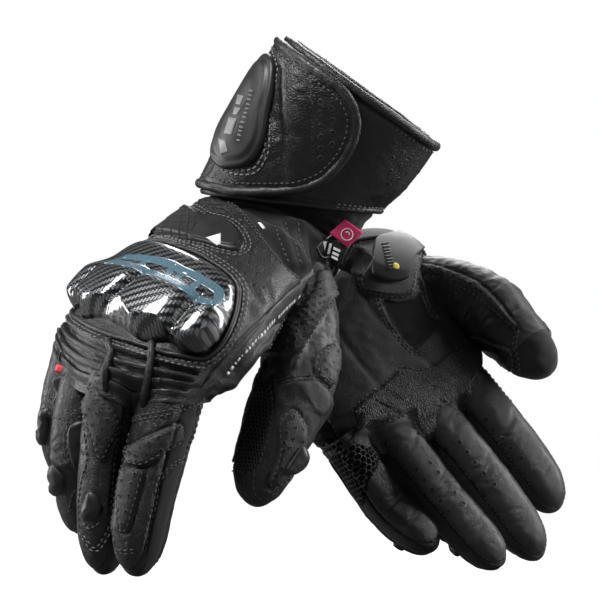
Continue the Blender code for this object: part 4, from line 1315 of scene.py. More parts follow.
# back of the hand
trace(right.hand, hem=[
    (-57.5, 186.25), (-51.875, 188.75), (-45, 188.375), (-37.5, 185), (-30, 179),
    (-22.5, 169.625), (-15, 158.75), (-7.5, 150.25), (0.625, 144)],
    strip_top=[(5, 147.5), (-7.5, 136.5), (-20, 124), (-32.5, 111.5), (-42.5, 100.875),
               (-50, 90.25)],
    strip_low=[(10.625, 144), (5, 137.125), (-7.5, 125.25), (-20, 114), (-27.5, 106.5),
               (-37.5, 95.25), (-45, 86.5)],
    rib1=[(-11, 171.5), (-8.5, 162.75), (-4.375, 152.125)],
    rib2=[(-4.75, 172.5), (-2.75, 162.75), (0.25, 151.5)],
    rib3=[(1, 171.75), (2.25, 162.125), (4, 150.875)],
    white_label=[(-20.625, 171.75), (-18.125, 168.375)])
trace(right.hand, closed=True, lift=1.2, back_guard=[
    (-78.75, 168.375), (-76.875, 172.125), (-70, 177.125), (-61.25, 180.875),
    (-54.375, 179.875), (-46.25, 175.875), (-38.125, 173.75), (-32.5, 170.625),
    (-28.125, 164.625), (-27.75, 160.5), (-30.625, 157.75), (-37.5, 158.375), (-50, 161.75),
    (-61.25, 164), (-72.5, 165.875)])
trace(right.hand, per=10, print_line=[
    (0.25, 136.25), (-10, 126.5), (-20, 115.875), (-30, 104.625), (-38.125, 94.625)])
spots(right.hand, hand_holes=[
    (-31, 150.875), (-26, 151.125), (-27.75, 145.875), (-22.25, 145.875), (-23.75, 140.25),
    (-19.25, 139.375)])
# the web between hand and thumb runs over both
WEB_PANEL = [
    (10, 149), (20, 147.5), (20.875, 142.5), (15, 132.75), (9.375, 123.375), (5, 115.875),
    (0.625, 109), (-5, 106.5), (-13.75, 106.5), (-22.25, 106.75), (-15, 115.875),
    (-3.75, 127.125), (6.25, 137.75)]
WEB_SEAM = [(20.375, 142.75), (15, 133.375), (9.375, 123.75), (4.75, 115.25), (0.625, 107.75),
            (-1.875, 101.5)]
trace(right.hand, closed=True, web_panel=WEB_PANEL)
trace(right.hand, web_seam=WEB_SEAM)
trace(right.digits["thumb"], closed=True, thumb_web=WEB_PANEL)
trace(right.digits["thumb"], thumb_web_seam=WEB_SEAM)

# palm
trace(left.hand, closed=True, heel_plate=[
    (28.8, 162.5), (28.7, 153.5), (29.2, 142.5), (31, 138), (36, 136.3), (45, 135),
    (54, 135.3), (57.2, 138), (58.2, 145.5), (60.2, 153.5), (60.6, 159.5), (56, 163.7),
    (48, 165.9), (40, 166.5), (32.5, 165.7)],
    insert=[(40.2, 133.7), (48, 133.3), (56, 134.5), (59.2, 138), (62.2, 130.5), (65.5, 125),
            (68.6, 123.3), (66.5, 117.7), (61.5, 112.5), (57.2, 109), (53.5, 111),
            (48, 117.5), (43.2, 125.3)],
    net=[(9.75, 73.375), (7.75, 65.25), (9, 56.5), (15, 49), (23.75, 39), (30.5, 31.75),
         (32.75, 39), (33.5, 44), (37.25, 50.875), (37.75, 57.5), (31.25, 58.75),
         (24, 56.875), (18.75, 64), (15.625, 72.5)])
trace(left.hand, closed=True, lift=1.0, heel_block=[
    (37.5, 163.7), (43, 165.9), (50, 166.1), (57, 163.5), (60.6, 160), (60.4, 157.3),
    (57, 154), (55.2, 147.5), (53.3, 143.7), (48, 142), (40.5, 142.9), (35.8, 145.7),
    (35.2, 151.5), (36.2, 158)])
trace(left.hand, insert_edge=[
    (37.5, 134.5), (40, 126.5), (45, 118.3), (51.5, 110.3), (57, 106), (64, 107.5),
    (65.8, 111)],
    thumb_edge=[(58.8, 143.5), (60.6, 136.5), (63, 129.5), (66, 125), (69, 123.7)],
    grip_seam1=[(50.5, 97.5), (60, 92.125), (69.5, 87.25)],
    grip_seam2=[(33.5, 84.25), (41.875, 80), (50, 76.25)])
trace(left.hand, closed=True, per=4, grip=[
    (27.75, 78.375), (32.75, 83.375), (38.75, 88), (45, 93), (50.25, 98.25), (58.75, 96.75),
    (67.5, 100), (73.75, 105.875), (78.125, 107.75), (81.25, 101.5), (84.375, 93.375),
    (86.875, 85.875), (84.75, 80.5), (80.625, 79.625), (76.25, 83.375), (73.5, 87.5),
    (69.5, 85.5), (69, 80.875), (71.75, 75.5), (71, 70.5), (66.25, 68.75), (61.875, 70.875),
    (58.125, 75.5), (55, 78.25), (46.875, 75.875), (38.75, 73.625), (30.625, 71.25),
    (28.5, 74.25)])
trace(left.hand, lift=4.2, dot=[(48.1, 152.7), (48.1, 149.3)])

# backs of the fingers
trace(right.digits["index"], index_hem=[
    (-85.625, 73.75), (-78.75, 75.875), (-67.5, 78.375), (-57.5, 81.5), (-45.625, 85.5)],
    index_seam=[(-45.625, 84.625), (-50, 69), (-54.375, 56.5), (-62.5, 50.875), (-68.75, 44),
                (-70.625, 34), (-73.125, 24), (-76.25, 9)],
    index_left=[(-88.125, 69), (-90.25, 56.5), (-92.25, 41.5), (-92.5, 29), (-90.625, 12.75)],
    index_tiprow=[(-90.625, 10.5), (-86.25, 10), (-81.25, 10.5)])
trace(right.digits["index"], closed=True, index_pad1=[
    (-85.25, 59.625), (-82.5, 62.125), (-72.5, 67.125), (-62.5, 72), (-59, 71.75),
    (-58, 66.5), (-60, 62.125), (-68.75, 56.5), (-77.5, 50.875), (-84.375, 51.5),
    (-85.625, 55.25)],
    index_pad2=[(-86.25, 50.25), (-78.125, 50), (-76.5, 47.75), (-78.75, 39), (-80.625, 31.5),
                (-83.75, 20.25), (-86, 18.375), (-88.125, 20.25), (-89.375, 31.5),
                (-88.125, 42.75)])
spots(right.digits["index"], index_holes=[
    (-82.5, 57.375), (-77.5, 59.625), (-79.625, 53), (-74, 62), (-70, 64.625),
    (-65.625, 67.375), (-61, 70.5), (-75, 56.25), (-69.375, 58.625), (-64.375, 63.125),
    (-79.75, 55.875), (-84.75, 48.625), (-80.25, 46.875), (-86, 43.625), (-81.75, 42.25),
    (-87.125, 36.5), (-82.875, 36.5), (-88.375, 29.625), (-84.375, 28.75), (-86, 22.75)])
trace(right.digits["middle"], closed=True, middle_pad=[
    (-104.75, 86.25), (-103.125, 90.875), (-97.5, 84.625), (-91.25, 77.125), (-90.25, 70.25),
    (-94.375, 60.25), (-96.875, 54.625), (-100, 55.875), (-102.5, 65.25), (-105.625, 75.25),
    (-106.25, 81.5)])
spots(right.digits["middle"], middle_holes=[
    (-104.75, 83.375), (-102.5, 79.25), (-99.375, 77.125), (-104, 76.5), (-95, 74.25),
    (-101.25, 71.75), (-97.25, 69.625), (-93.125, 70.875), (-99, 65.875), (-95.625, 64.625),
    (-97.75, 60.25), (-99.375, 62.125)])
trace(right.digits["middle"], middle_left=[
    (-104.75, 92.125), (-106.5, 81.5), (-106.25, 69), (-105.25, 54), (-107.5, 44),
    (-108.5, 32.75), (-107.5, 20.25), (-103.75, 12.75)],
    middle_right=[(-100, 94.625), (-92.5, 85.25), (-85, 77.75), (-89.375, 69), (-91.25, 59),
                  (-92.5, 49), (-93.125, 39), (-93.75, 29)],
    middle_vee=[(-107.75, 20.25), (-104.75, 15.25), (-101, 11.25), (-97.75, 15.25),
                (-94.375, 22.125)],
    middle_vee2=[(-106.5, 24), (-103.5, 20.875), (-98.5, 24)])
trace(right.digits["middle"], closed=True, lift=0.5, middle_slider=[
    (-104, 38.75), (-106.75, 32.75), (-107.25, 27.125), (-104.75, 23.75), (-100, 25.875),
    (-97.5, 30), (-99, 35), (-101.5, 38)])
trace(right.digits["ring"], closed=True, lift=0.5, ring_guard=[
    (-113.75, 71.5), (-106.25, 73.75), (-104.75, 66.5), (-107.5, 56.5), (-110.25, 47.75),
    (-113.125, 54), (-115.25, 62.75)],
    ring_slider=[(-125.5, 49), (-121.875, 52.125), (-117.5, 47.75), (-116, 42.125),
                 (-118.75, 37.125), (-122.75, 36.5), (-125, 41.5)])
trace(right.digits["ring"], ring_line=[
    (-122.5, 75.25), (-115.625, 73.375), (-115.25, 64), (-113.75, 54), (-109, 45.25),
    (-112.5, 36.5), (-113.75, 27.75)])
trace(right.digits["pinky"], closed=True, lift=0.5, pinky_guard=[
    (-122.25, 94), (-117.5, 96.5), (-113.75, 93.375), (-112.75, 87.75), (-115, 80.25),
    (-120, 76.5), (-122.5, 81.5), (-121, 87.75)],
    pinky_slider=[(-127.75, 79), (-125, 80.25), (-124, 75.25), (-124.375, 69),
                  (-126.25, 62.125), (-128.75, 62.75), (-128, 71.5)])
trace(right.digits["pinky"], lift=0.3, pinky_tag=[(-120.875, 100), (-116.5, 98.375)])

# back of the thumb
trace(right.digits["thumb"], thumb_hem=[
    (-13.75, 91.5), (-7.5, 93), (0, 94.25), (7.5, 94.375), (13.125, 91.5), (16.5, 84)],
    thumb_seam=[(-14.75, 91.5), (-13.75, 81.5), (-15.25, 69), (-18.75, 56.5), (-22.25, 49),
                (-30, 47.5)],
    thumb_seam2=[(-22.25, 48.375), (-23.125, 44), (-22.25, 37.75), (-18.75, 34.625)],
    thumb_seam3=[(4.75, 61.5), (0, 50.25), (-7.5, 42.125), (-15, 35.875)])
trace(right.digits["thumb"], closed=True, thumb_shield=[
    (8.125, 106.5), (12.5, 110), (17.5, 112.75), (19.25, 107.75), (19, 99), (16, 90.25),
    (10, 94), (7.5, 100.25)],
    thumb_triangle=[(-1.875, 91.5), (5, 92.125), (11.25, 90.25), (14.375, 84.625),
                    (10, 76.25), (3.75, 83.375)],
    thumb_pad=[(-4, 80), (-9.375, 76.5), (-11.5, 71.5), (-11, 59), (-13.75, 49),
               (-16, 43.375), (-15, 40.25), (-11.25, 40.875), (-5, 47.75), (0, 52.75),
               (2.75, 61.5), (3.75, 69), (0.625, 75.25)],
    thumb_net=[(-21.875, 97.75), (-15.625, 93.375), (-14.75, 81.5), (-16, 69), (-18.75, 59),
               (-21.5, 50.875), (-26.25, 48), (-31, 48.75), (-30.625, 59), (-28.125, 71.5),
               (-25, 84), (-23.125, 94)])
trace(right.digits["thumb"], closed=True, lift=0.5, thumb_slider=[
    (0, 61.25), (-4, 56.5), (-8.5, 49), (-6, 46.75), (-1.875, 48), (2.25, 53.75),
    (2.75, 58.375)])
spots(right.digits["thumb"], thumb_holes=[
    (-4, 75.25), (-7.75, 72.5), (-3.25, 70), (0.25, 69), (-7.5, 67.5), (-4.25, 64.625),
    (-8.5, 62.75), (-8.5, 58.75), (-9.75, 54.625), (-10.25, 50.25), (-12.25, 46.75),
    (-11.875, 42.75), (-13.75, 44.625), (0, 63.375), (-5.625, 60.25)],
    thumb_shield_holes=[(13.125, 106.75), (17.5, 108), (11.25, 103.375), (15.625, 102.5),
                        (12.25, 98.75), (16.875, 98.375), (13.75, 94)])

# palm side of the thumb and fingers
trace(left.digits["thumb"], thumb_strip_low=[
    (60.5, 146.5), (70, 145.5), (85, 138), (96, 129.5), (107.5, 119)],
    thumb_strip_top=[(61, 153), (70, 151), (79, 148), (90.5, 142), (99, 133.5), (108, 122)],
    thumb_tip_edge=[(107.8, 119.5), (106.2, 111.5), (107.5, 104.5), (108, 97.5)])
trace(left.digits["thumb"], closed=True, thumb_side=[
    (80, 116.5), (87, 116.5), (96, 112.5), (105.5, 108.5), (106.2, 98.5), (99, 100.5),
    (88, 106.5), (81, 112.5)])
spots(left.digits["thumb"], thumb_strip_holes=[
    (65.5, 149), (68.2, 149.5), (71.2, 147.5), (74, 146.5), (77, 146.2), (80, 144.3),
    (82.8, 142.7), (85.5, 141.5), (88.2, 139.3), (90.8, 137.7), (93, 135.5), (95.5, 134)])
trace(left.digits["pinky"], closed=True, per=4, finger_net=[
    (7.75, 65.25), (9, 56.5), (15, 49), (23.75, 39), (30.5, 31.75), (32.75, 39), (33.5, 44),
    (37.25, 50.875), (37.75, 57.5), (31.25, 61.5), (24, 62.75), (16.25, 66.5)])
spots(left.digits["index"], index_palm_holes=[
    (92.625, 74.5), (96, 69.25), (100.625, 64.5), (104.5, 60.25), (109.625, 55.125),
    (85.5, 70.75), (89, 65), (93.5, 60.25), (98, 55.5), (103.5, 50.875)])
spots(left.digits["middle"], middle_palm_holes=[
    (78.75, 62.75), (82.5, 58), (86.5, 52.75), (90.875, 47.375), (95.875, 41.875),
    (72.25, 59.25), (76.5, 54), (81, 48.375), (85.75, 43.125), (90.5, 37.625)])
spots(left.digits["ring"], ring_palm_holes=[
    (64, 52.375), (67.875, 47.75), (71.875, 42.75), (76, 37.625), (80.25, 32.375),
    (57.875, 49.5), (61.5, 44.375), (65.5, 39.625), (69.625, 34), (73.5, 28.875)])

# flap and cuff
trace(right.flap, flap_seam=[(4.8, 243), (5.6, 231.5), (6.2, 215.5), (6.7, 196)],
      flap_ridge1=[(-7.5, 253.5), (-6, 238.5), (-5.2, 221.5), (-4.8, 195.5)],
      flap_ridge2=[(0, 247.5), (0.5, 231.5), (0.8, 215.5), (1.5, 197.5)],
      flap_dip=[(-10.2, 251.5), (-9.8, 229.5), (-9.5, 207.5), (-8, 195.5)],
      cuff_guard_seam=[(-14, 261), (-11.4, 252.5), (-12.2, 244.5), (-13.8, 238.5),
                       (-15, 228.5), (-15.2, 215.5), (-16.2, 207.5), (-21.8, 198.7),
                       (-31, 197.3), (-40, 200)])
spots(right.flap, flap_holes=[
    (10.7, 234.3), (10.3, 228.5), (10.8, 221.8), (10.7, 216.3), (10.6, 210.5), (10.6, 205.5),
    (16.3, 231), (16.5, 224.7), (16.5, 218.5), (16.4, 212.5)])
spots(right.cuff, cuff_holes=[
    (47.8, 213), (51.7, 208.5), (55.2, 205.1), (58, 201.2), (60.4, 198.2), (46.8, 205.8),
    (50.7, 202.1), (53.7, 198.5), (56.7, 195.4), (45.7, 199.1), (49.2, 195.4), (51.9, 192.5),
    (54.5, 189.5), (44.5, 192.5), (47.5, 189.5), (50, 186.9), (42.4, 186), (45.6, 183)])

# grooves of the back plate, drawn as strips of painted shade: six along the hand, then five across
MARKS["slots"] = [right.hand.pick(spline(points, 4), 3.0) for points in (
    [(-69.75, 176.25), (-71.5, 171.75), (-73.25, 168)],
    [(-66.25, 178), (-67.75, 172.125), (-69, 166.75)],
    [(-62.5, 179.5), (-63.75, 172.75), (-64.875, 165.75)],
    [(-58.875, 180), (-59.75, 172.75), (-60.75, 164.75)],
    [(-55.25, 178.75), (-55.875, 171.5), (-56.75, 164)],
    [(-52, 175), (-52.5, 172.125), (-53, 169)],
    [(-64.5, 178.75), (-58.75, 178.5), (-53.75, 177.75)],
    [(-70.25, 175.75), (-61.25, 175.75), (-51.875, 174.5)],
    [(-72.75, 172.75), (-62.5, 172.5), (-51.5, 171)],
    [(-74.75, 170), (-65, 169.5), (-53, 168)],
    [(-73.5, 167.75), (-66.25, 167), (-56.25, 165.5)])]
MARKS["plate_mark"] = right.hand.pick(
    [(-47, 163.75), (-39.625, 166), (-39.625, 161.25), (-41.75, 161.25)], 3.0)
# prints of the knuckle guard: two long bands, then six short ones
MARKS["bands"] = [right.hand.pick(points, 7.0) for points in (
    [(-88.75, 154.25), (-78.75, 154.25), (-67.5, 152.125), (-57.5, 147.5), (-47.5, 142.5),
     (-40, 137.125), (-38.125, 132.125)],
    [(-93.5, 150), (-83.75, 148.75), (-73.75, 145.5), (-65, 140.875), (-56.25, 136.25),
     (-48.75, 131.5), (-42.5, 129.25)],
    [(-87.25, 154.5), (-90.625, 151.75), (-92.25, 150)],
    [(-76, 153.25), (-78.75, 150), (-76.875, 146.5)],
    [(-63.75, 150.875), (-65, 146.5), (-66.25, 142.75)],
    [(-56.875, 147), (-60.25, 143.75), (-62.25, 140)],
    [(-48.75, 143), (-53.125, 139.25), (-55, 135.875)],
    [(-38.5, 134), (-40, 130.875), (-43.5, 128.75)])]
MARKS["cords"] = [right.hand.pick(points, 2.5) for points in (
    [(-74, 114), (-73.5, 105.5), (-75.5, 96.5), (-78.5, 86.5), (-81.5, 79)],
    [(-95.5, 114), (-94, 106.5), (-97.5, 99), (-100, 94)])]
MARKS["chevrons"] = [right.flap.pick(points, 3.5) for points in (
    [(-30, 237.5), (-27, 236.5), (-28.5, 232), (-31, 232.5)],
    [(-31.5, 231), (-28.5, 230.5), (-30, 227), (-32.5, 227.5)],
    [(-34.5, 226), (-30.5, 225), (-33, 216.5), (-37, 217.5)],
    [(-40.5, 215.5), (-36.5, 214), (-35.5, 208), (-39, 207)])]
MARKS["guard_ticks"] = [
    right.flap.pick([(-24.25 - 0.625 * k, 240 - 2.3 * k), (-22.75 - 0.625 * k, 239.35 - 2.3 * k)],
                    3.5) for k in range(12)]
MARKS["heel_ticks"] = [
    left.hand.pick([(41 + 0.35 * k, 162.25 - 1.7 * k), (44.75 + 0.35 * k, 163.25 - 1.7 * k)],
                   3.5) for k in range(9)]

# outlines given straight in (x, degrees)
GUARD_START = [(3.30, 118), (3.27, 85), (3.34, 52), (3.55, 40), (3.85, 33), (4.15, 30),
               (4.42, 31)]
GUARD_END = [(4.42, 153), (4.15, 152), (3.85, 147), (3.55, 134)]
WELT_OUTLINE = degree_spline(GUARD_START + [
    (4.68, 38), (4.76, 60), (4.77, 90), (4.76, 120), (4.68, 148)] + GUARD_END, 5, True)
GUARD_OUTLINE = degree_spline(GUARD_START + [
    (4.66, 37), (4.73, 48), (4.60, 62), (4.75, 77), (4.61, 92), (4.75, 107), (4.60, 121.5),
    (4.72, 136), (4.64, 149)] + GUARD_END, 5, True)
GUARD_CLEFTS = [degree_spline(points, 8) for points in (
    [(3.70, 58.5), (4.2, 60.5), (4.52, 62), (4.74, 63)],
    [(3.68, 89.5), (4.2, 91), (4.52, 92), (4.74, 92)],
    [(3.74, 121), (4.2, 121.5), (4.52, 122), (4.74, 121)])]
CUFF_GUARD_OUTLINE = degree_spline([
    (0.34, 148), (0.33, 135), (0.48, 121.5), (0.84, 119.5), (1.25, 127.5), (1.5, 133.5),
    (1.70, 142), (1.77, 152), (1.75, 163), (1.60, 171), (1.31, 175), (1.0, 176), (0.7, 174),
    (0.45, 161)], 4, True)
FLAP_OUTLINE = degree_spline([
    (0.07, 165), (0.06, 140), (0.06, 121), (0.22, 94), (0.51, 81), (0.83, 76.5), (1.18, 75),
    (1.53, 77.5), (1.79, 84.5), (1.92, 97), (1.93, 118), (1.93, 150), (1.93, 178), (1.90, 190),
    (1.5, 190), (1.0, 190), (0.5, 190), (0.10, 188)], 6, True)
FINGER_PALM = degree_spline([
    (-0.2, 212), (0.6, 210), (1.4, 210), (2.2, 211), (2.70, 220), (2.88, 245), (2.90, 270),
    (2.88, 295), (2.70, 320), (2.2, 329), (1.4, 330), (0.6, 330), (-0.2, 328)], 6, True)
FINGER_BACK = degree_spline([
    (-0.2, 28), (0.6, 26), (1.5, 26), (2.3, 28), (2.72, 44), (2.86, 70), (2.88, 90),
    (2.86, 110), (2.72, 136), (2.3, 152), (1.5, 154), (0.6, 154), (-0.2, 152)], 6, True)
WIRE_LOOP = degree_spline([
    (0.80, 24), (0.83, 18), (0.95, 15), (1.2, 14.4), (1.45, 15), (1.58, 18), (1.61, 24),
    (1.58, 30), (1.45, 33), (1.2, 33.6), (0.95, 33), (0.83, 30)], 5, True)

STRAP_X = 1.1  # where the tag and pull tab sit along the hand


def front_depth(x, z):
    """Smallest y at which a sight line meets the right glove, or None."""
    hits = [skin.tree()[0].ray_cast(Vector(EYE), Vector(sight_line(x, z)), 3000.0)[0]
            for skin in (right.hand, right.cuff, right.digits["thumb"])]
    return min((hit[1] for hit in hits if hit is not None), default=None)


def strap_local(corners, depths):
    """Corners seen at (x, z), placed at the given y, in the right hand's strap frame."""
    points = np.array([EYE + (np.array((x, 0.0, z)) - EYE) * (1 + y / 1000.0)
                       for (x, z), y in zip(corners, depths)])
    centre, across, along, outward = frame_at(right.hand.host, STRAP_X)
    return np.stack([(points - centre) @ v for v in (across, along, outward)], -1)


def strap_points(host, local):
    centre, across, along, outward = frame_at(host, STRAP_X)
    return centre + local[:, :1] * across + local[:, 1:2] * along + local[:, 2:3] * outward


_depths = [front_depth(*p) for p in ((19, 168), (22.5, 171.5), (22.5, 164), (17.5, 164),
                                     (14, 161.5))]
_depths.append(right.hand.host.point(np.array([STRAP_X]), np.radians([12.0]))[0][1])
TAG_Y = min(y for y in _depths if y is not None) - 4.0
TAG = strap_local([(22.5, 174.75), (31.75, 168), (24, 160.25), (15, 167.75)],
                  (TAG_Y, TAG_Y + 2, TAG_Y + 2, TAG_Y))
STRAP_END = strap_local([(9.5, 167), (24, 161), (21, 152), (7, 157.5)], [TAG_Y + 3.5] * 4)
STRAP_END_BARS = [strap_local(corners, [TAG_Y + 1.5] * 4) for corners in (
    [(9, 164), (10.5, 164), (9.75, 158), (8.25, 158.5)],
    [(11.75, 163.5), (13.5, 163.5), (12, 157.5), (10.4, 157.75)],
    [(14.75, 162.5), (16, 162.5), (14.75, 157), (13.5, 157.1)],
    [(17, 160.75), (20.25, 159.25), (20, 158), (16.6, 159.5)],
    [(16.5, 158.5), (19.5, 157), (19.2, 155.8), (16.1, 157.25)],
    [(16, 156.5), (19, 155), (18.7, 153.75), (15.6, 155.25)])]


# ------------------------------------------------------------ sculpting pass
# The order of the steps matters: later paint covers earlier paint.
RIBS_START, RIB_PITCH = 4.86, 0.245  # accordion ribs of the hand, in x


def interpolate(path, where, by):
    """The other column of a path, looked up by column number by."""
    order = np.argsort(path[:, by])
    return np.interp(where, path[order, by], path[order, 1 - by])


def sculpt_wrist(skin):
    """Wrist cloth above the hem of the leather back."""
    degrees = np.degrees(skin.angle)
    hem_x = interpolate(MARKS["hem"], (skin.angle + 0.35) % TURN - 0.35, by=1)
    back = (degrees > 8) & (degrees < 176)
    cloth = (skin.x < hem_x) & back
    skin.paint(cloth, "wristcloth")
    stepped = (degrees > 5) & (degrees < 178)
    skin.height += 1.3 * (smooth((skin.x - hem_x) / 0.05) * stepped) - 0.6 * stepped
    skin.paint((skin.x < 0.98) & ~back, "wristcloth")
    folds = 0.7 * np.sin(skin.x * 9 + 2.2 * np.sin(skin.angle * 2))
    skin.height += np.where(cloth, folds, 0)


def sculpt_accordion(skin):
    """Ribs across the back before the fingers, with painted shade: the valley bottoms get the
    near-black backing material.
    """
    degrees = np.degrees(skin.angle)
    mask = (smooth((degrees - 30) / 6) * smooth((154 - degrees) / 6)
            * smooth((skin.x - RIBS_START) / 0.08))
    rib = np.abs(np.sin(math.pi * ((skin.x - RIBS_START) / RIB_PITCH))) ** 0.6
    skin.height += mask * (5.0 * rib - 3.2 + 0.3 * ripple(skin.base, 8, 5))
    skin.paint(mask > 0.5, "leather")
    # painted shade: the near-black backing colour laid in the valleys between the ribs
    skin.paint((mask > 0.5) & (rib < 0.40), "backing_and_valley_shade")


def hug_fingers(skin, fingers):
    """Draw the end of the hand in to the finger roots."""
    start = 5.05
    trees = [finger.tree()[0] for finger in fingers]
    rows = np.where(skin.xs > start)[0]
    gap = np.zeros((len(rows), skin.columns))
    for k, i in enumerate(rows):
        for j in range(skin.columns):
            origin = Vector(skin.base[i, j] + skin.normal[i, j] * 2.0)
            inward = Vector(-skin.normal[i, j])
            hits = [tree.ray_cast(origin, inward, 26.0) for tree in trees]
            gaps = [hit[3] for hit in hits if hit[0] is not None]
            gap[k, j] = (min(gaps) - 2.0) if gaps else 9.0
    for _ in range(int(5 / STEP)):
        gap = 0.5 * gap + 0.25 * (np.roll(gap, 1, 1) + np.roll(gap, -1, 1))
        gap[1:-1] = 0.5 * gap[1:-1] + 0.25 * (gap[:-2] + gap[2:])
    weight = smooth((skin.xs[rows] - start) / 0.95)[:, None] ** 1.3
    skin.height[rows] = (skin.height[rows] * (1 - 0.45 * weight)
                         - weight * np.clip(gap - 0.6, -1.5, 18.0))


def sculpt_hand(glove):
    skin = glove.hand
    degrees = np.degrees(skin.angle)
    skin.roughen(0.28, 11)
    skin.paint((degrees >= 188) & (degrees <= 352) & (skin.x > 1.0), "palm")
    sculpt_wrist(skin)
    for rib in ("rib1", "rib2", "rib3"):
        skin.ridge(MARKS[rib], 3.4, 2.3)
    # raised band round the edge of the knuckle guard
    mask, distance = skin.near(GUARD_OUTLINE, 14, True)
    skin.height[mask] += 1.1 * bell((distance - 3.2) / 2.6)
    # strip along the index side, and the thumb web
    skin.pad(np.vstack([MARKS["strip_top"], MARKS["strip_low"][::-1]]), 0.9, 1.6,
             crown=0.5, reach=4.0)
    skin.ridge(MARKS["strip_top"], 0.7, -0.7)
    skin.ridge(MARKS["strip_low"], 0.7, -0.8)
    skin.pad(MARKS["web_panel"], 0.5, 1.4, "perf")
    skin.ridge(MARKS["web_seam"], 1.2, 1.1)
    sculpt_accordion(skin)
    # palm: heel plate, sunk stretch insert, grip reinforcement, mesh
    skin.pad(MARKS["heel_plate"], 1.3, 1.6, "palm", crown=0.3)
    inside = skin.inside(MARKS["insert"])
    skin.paint(inside, "stretch")
    sink = 0.9 * smooth(skin.rim_distance(MARKS["insert"], 6, 9.0) / 1.6)
    skin.height -= np.where(inside, sink, 0.0)
    skin.ridge(MARKS["thumb_edge"], 0.8, -0.8)
    skin.pad(MARKS["grip"], 1.2, 1.5, crown=0.3)
    skin.ridge(MARKS["grip_seam1"], 0.7, -0.7)
    skin.ridge(MARKS["grip_seam2"], 0.7, -0.7)
    inside = skin.inside(MARKS["net"])
    skin.paint(inside, "backing_and_valley_shade")
    skin.height[inside] -= 0.5
    # long palm creases
    for start, stop, angle in ((2.2, 5.2, 262), (3.2, 5.4, 246)):
        crease = [(start, angle), ((start + stop) / 2, angle + 12), (stop, angle + 22)]
        skin.ridge(degree_spline(crease, 8), 1.8, -0.5)
    hug_fingers(skin, [glove.digits[name] for name in FINGER_SIZE])
    skin.settle()


def sculpt_cuff(skin):
    skin.roughen(0.35, 21, (30.0, 10.0))
    skin.height += 0.35 * ripple(skin.base * [1, 1, 0.4], 26, 77)
    for edge in (0.10, 1.90):
        skin.height -= 0.5 * bell((skin.x - edge) / 0.025)
    skin.height += 0.5 * (smooth((0.10 - skin.x) / 0.03) + smooth((skin.x - 1.90) / 0.03))
    skin.settle()


def sculpt_flap(skin):
    skin.roughen(0.30, 31, (24.0, 8.0))
    skin.ridge(MARKS["flap_ridge1"], 6.0, 1.5)
    skin.ridge(MARKS["flap_ridge2"], 5.0, 0.8)
    skin.ridge(MARKS["flap_dip"], 3.0, -0.9)
    beyond = skin.angle < interpolate(MARKS["flap_seam"], skin.x, by=0)
    skin.height += np.where(beyond, 0.55, 0.0)
    skin.ridge(MARKS["flap_seam"], 0.8, -0.4)
    # puckers by the wrist edge
    pucker = 0.5 + 0.5 * ripple(skin.base, 6.5, 5)
    skin.height -= 0.35 * pucker * smooth((0.42 - skin.x) / 0.2)
    skin.settle()


# centre, spread, count, depth, seed step, middle angle, span
FINGER_CREASES = [(1.0, 0.16, 4, 0.55, 5, 270, 55), (0.12, 0.10, 3, 0.40, 7, 270, 55),
                  (1.98, 0.08, 2, 0.35, 9, 270, 50), (1.05, 0.12, 3, 0.28, 13, 90, 65)]
# perforated pads: name, height, edge, crown, reach
FINGER_PADS = {"index": [("index_pad1", 1.7, 1.5, 0.5, 5.0), ("index_pad2", 1.6, 1.4, 0.4, 4.0)],
               "middle": [("middle_pad", 1.6, 1.4, 0.5, 5.0)]}
# grooves: name, width, depth
FINGER_GROOVES = {"index": [("index_seam", 0.7, 0.5)],
                  "middle": [("middle_right", 0.8, 0.5), ("middle_vee", 0.6, 0.4)]}


def sculpt_finger(skin, name):
    degrees = np.degrees(skin.angle)
    seed = FINGER_SEED[name]
    skin.roughen(0.16, seed, (15.0, 6.0))
    skin.paint((degrees < 24) | (degrees > 334) | ((degrees > 156) & (degrees < 206)),
               "fourchette")
    skin.paint((degrees >= 206) & (degrees <= 334), "palm")
    skin.pad(FINGER_PALM, 0.9, 1.5, crown=0.35, reach=7.0)
    skin.pad(FINGER_BACK, 0.9, 1.5, crown=0.3, reach=7.0)
    for centre, spread, count, depth, seed_step, middle, span in FINGER_CREASES:
        skin.crease(centre, spread, count, depth, seed + seed_step, middle, span)
    pads = FINGER_PADS.get(name, [])
    for mark, height, edge, crown, reach in pads:
        skin.pad(MARKS[mark], height, edge, "perf", crown, reach)
    for mark, width, depth in FINGER_GROOVES.get(name, []):
        skin.ridge(MARKS[mark], width, -depth)
    if name == "pinky":
        skin.paint(skin.inside(MARKS["finger_net"]), "backing_and_valley_shade")
    if name in ("ring", "pinky"):
        skin.ridge(degree_spline([(1.35, 60), (1.42, 90), (1.35, 120)]), 1.4, 0.7)
    skin.ridge(FINGER_PALM, 0.9, -0.8, closed=True)
    skin.ridge(FINGER_BACK, 0.9, -0.7, closed=True)
    for pad in pads:
        skin.ridge(MARKS[pad[0]], 0.85, -1.0, closed=True)
    skin.settle()


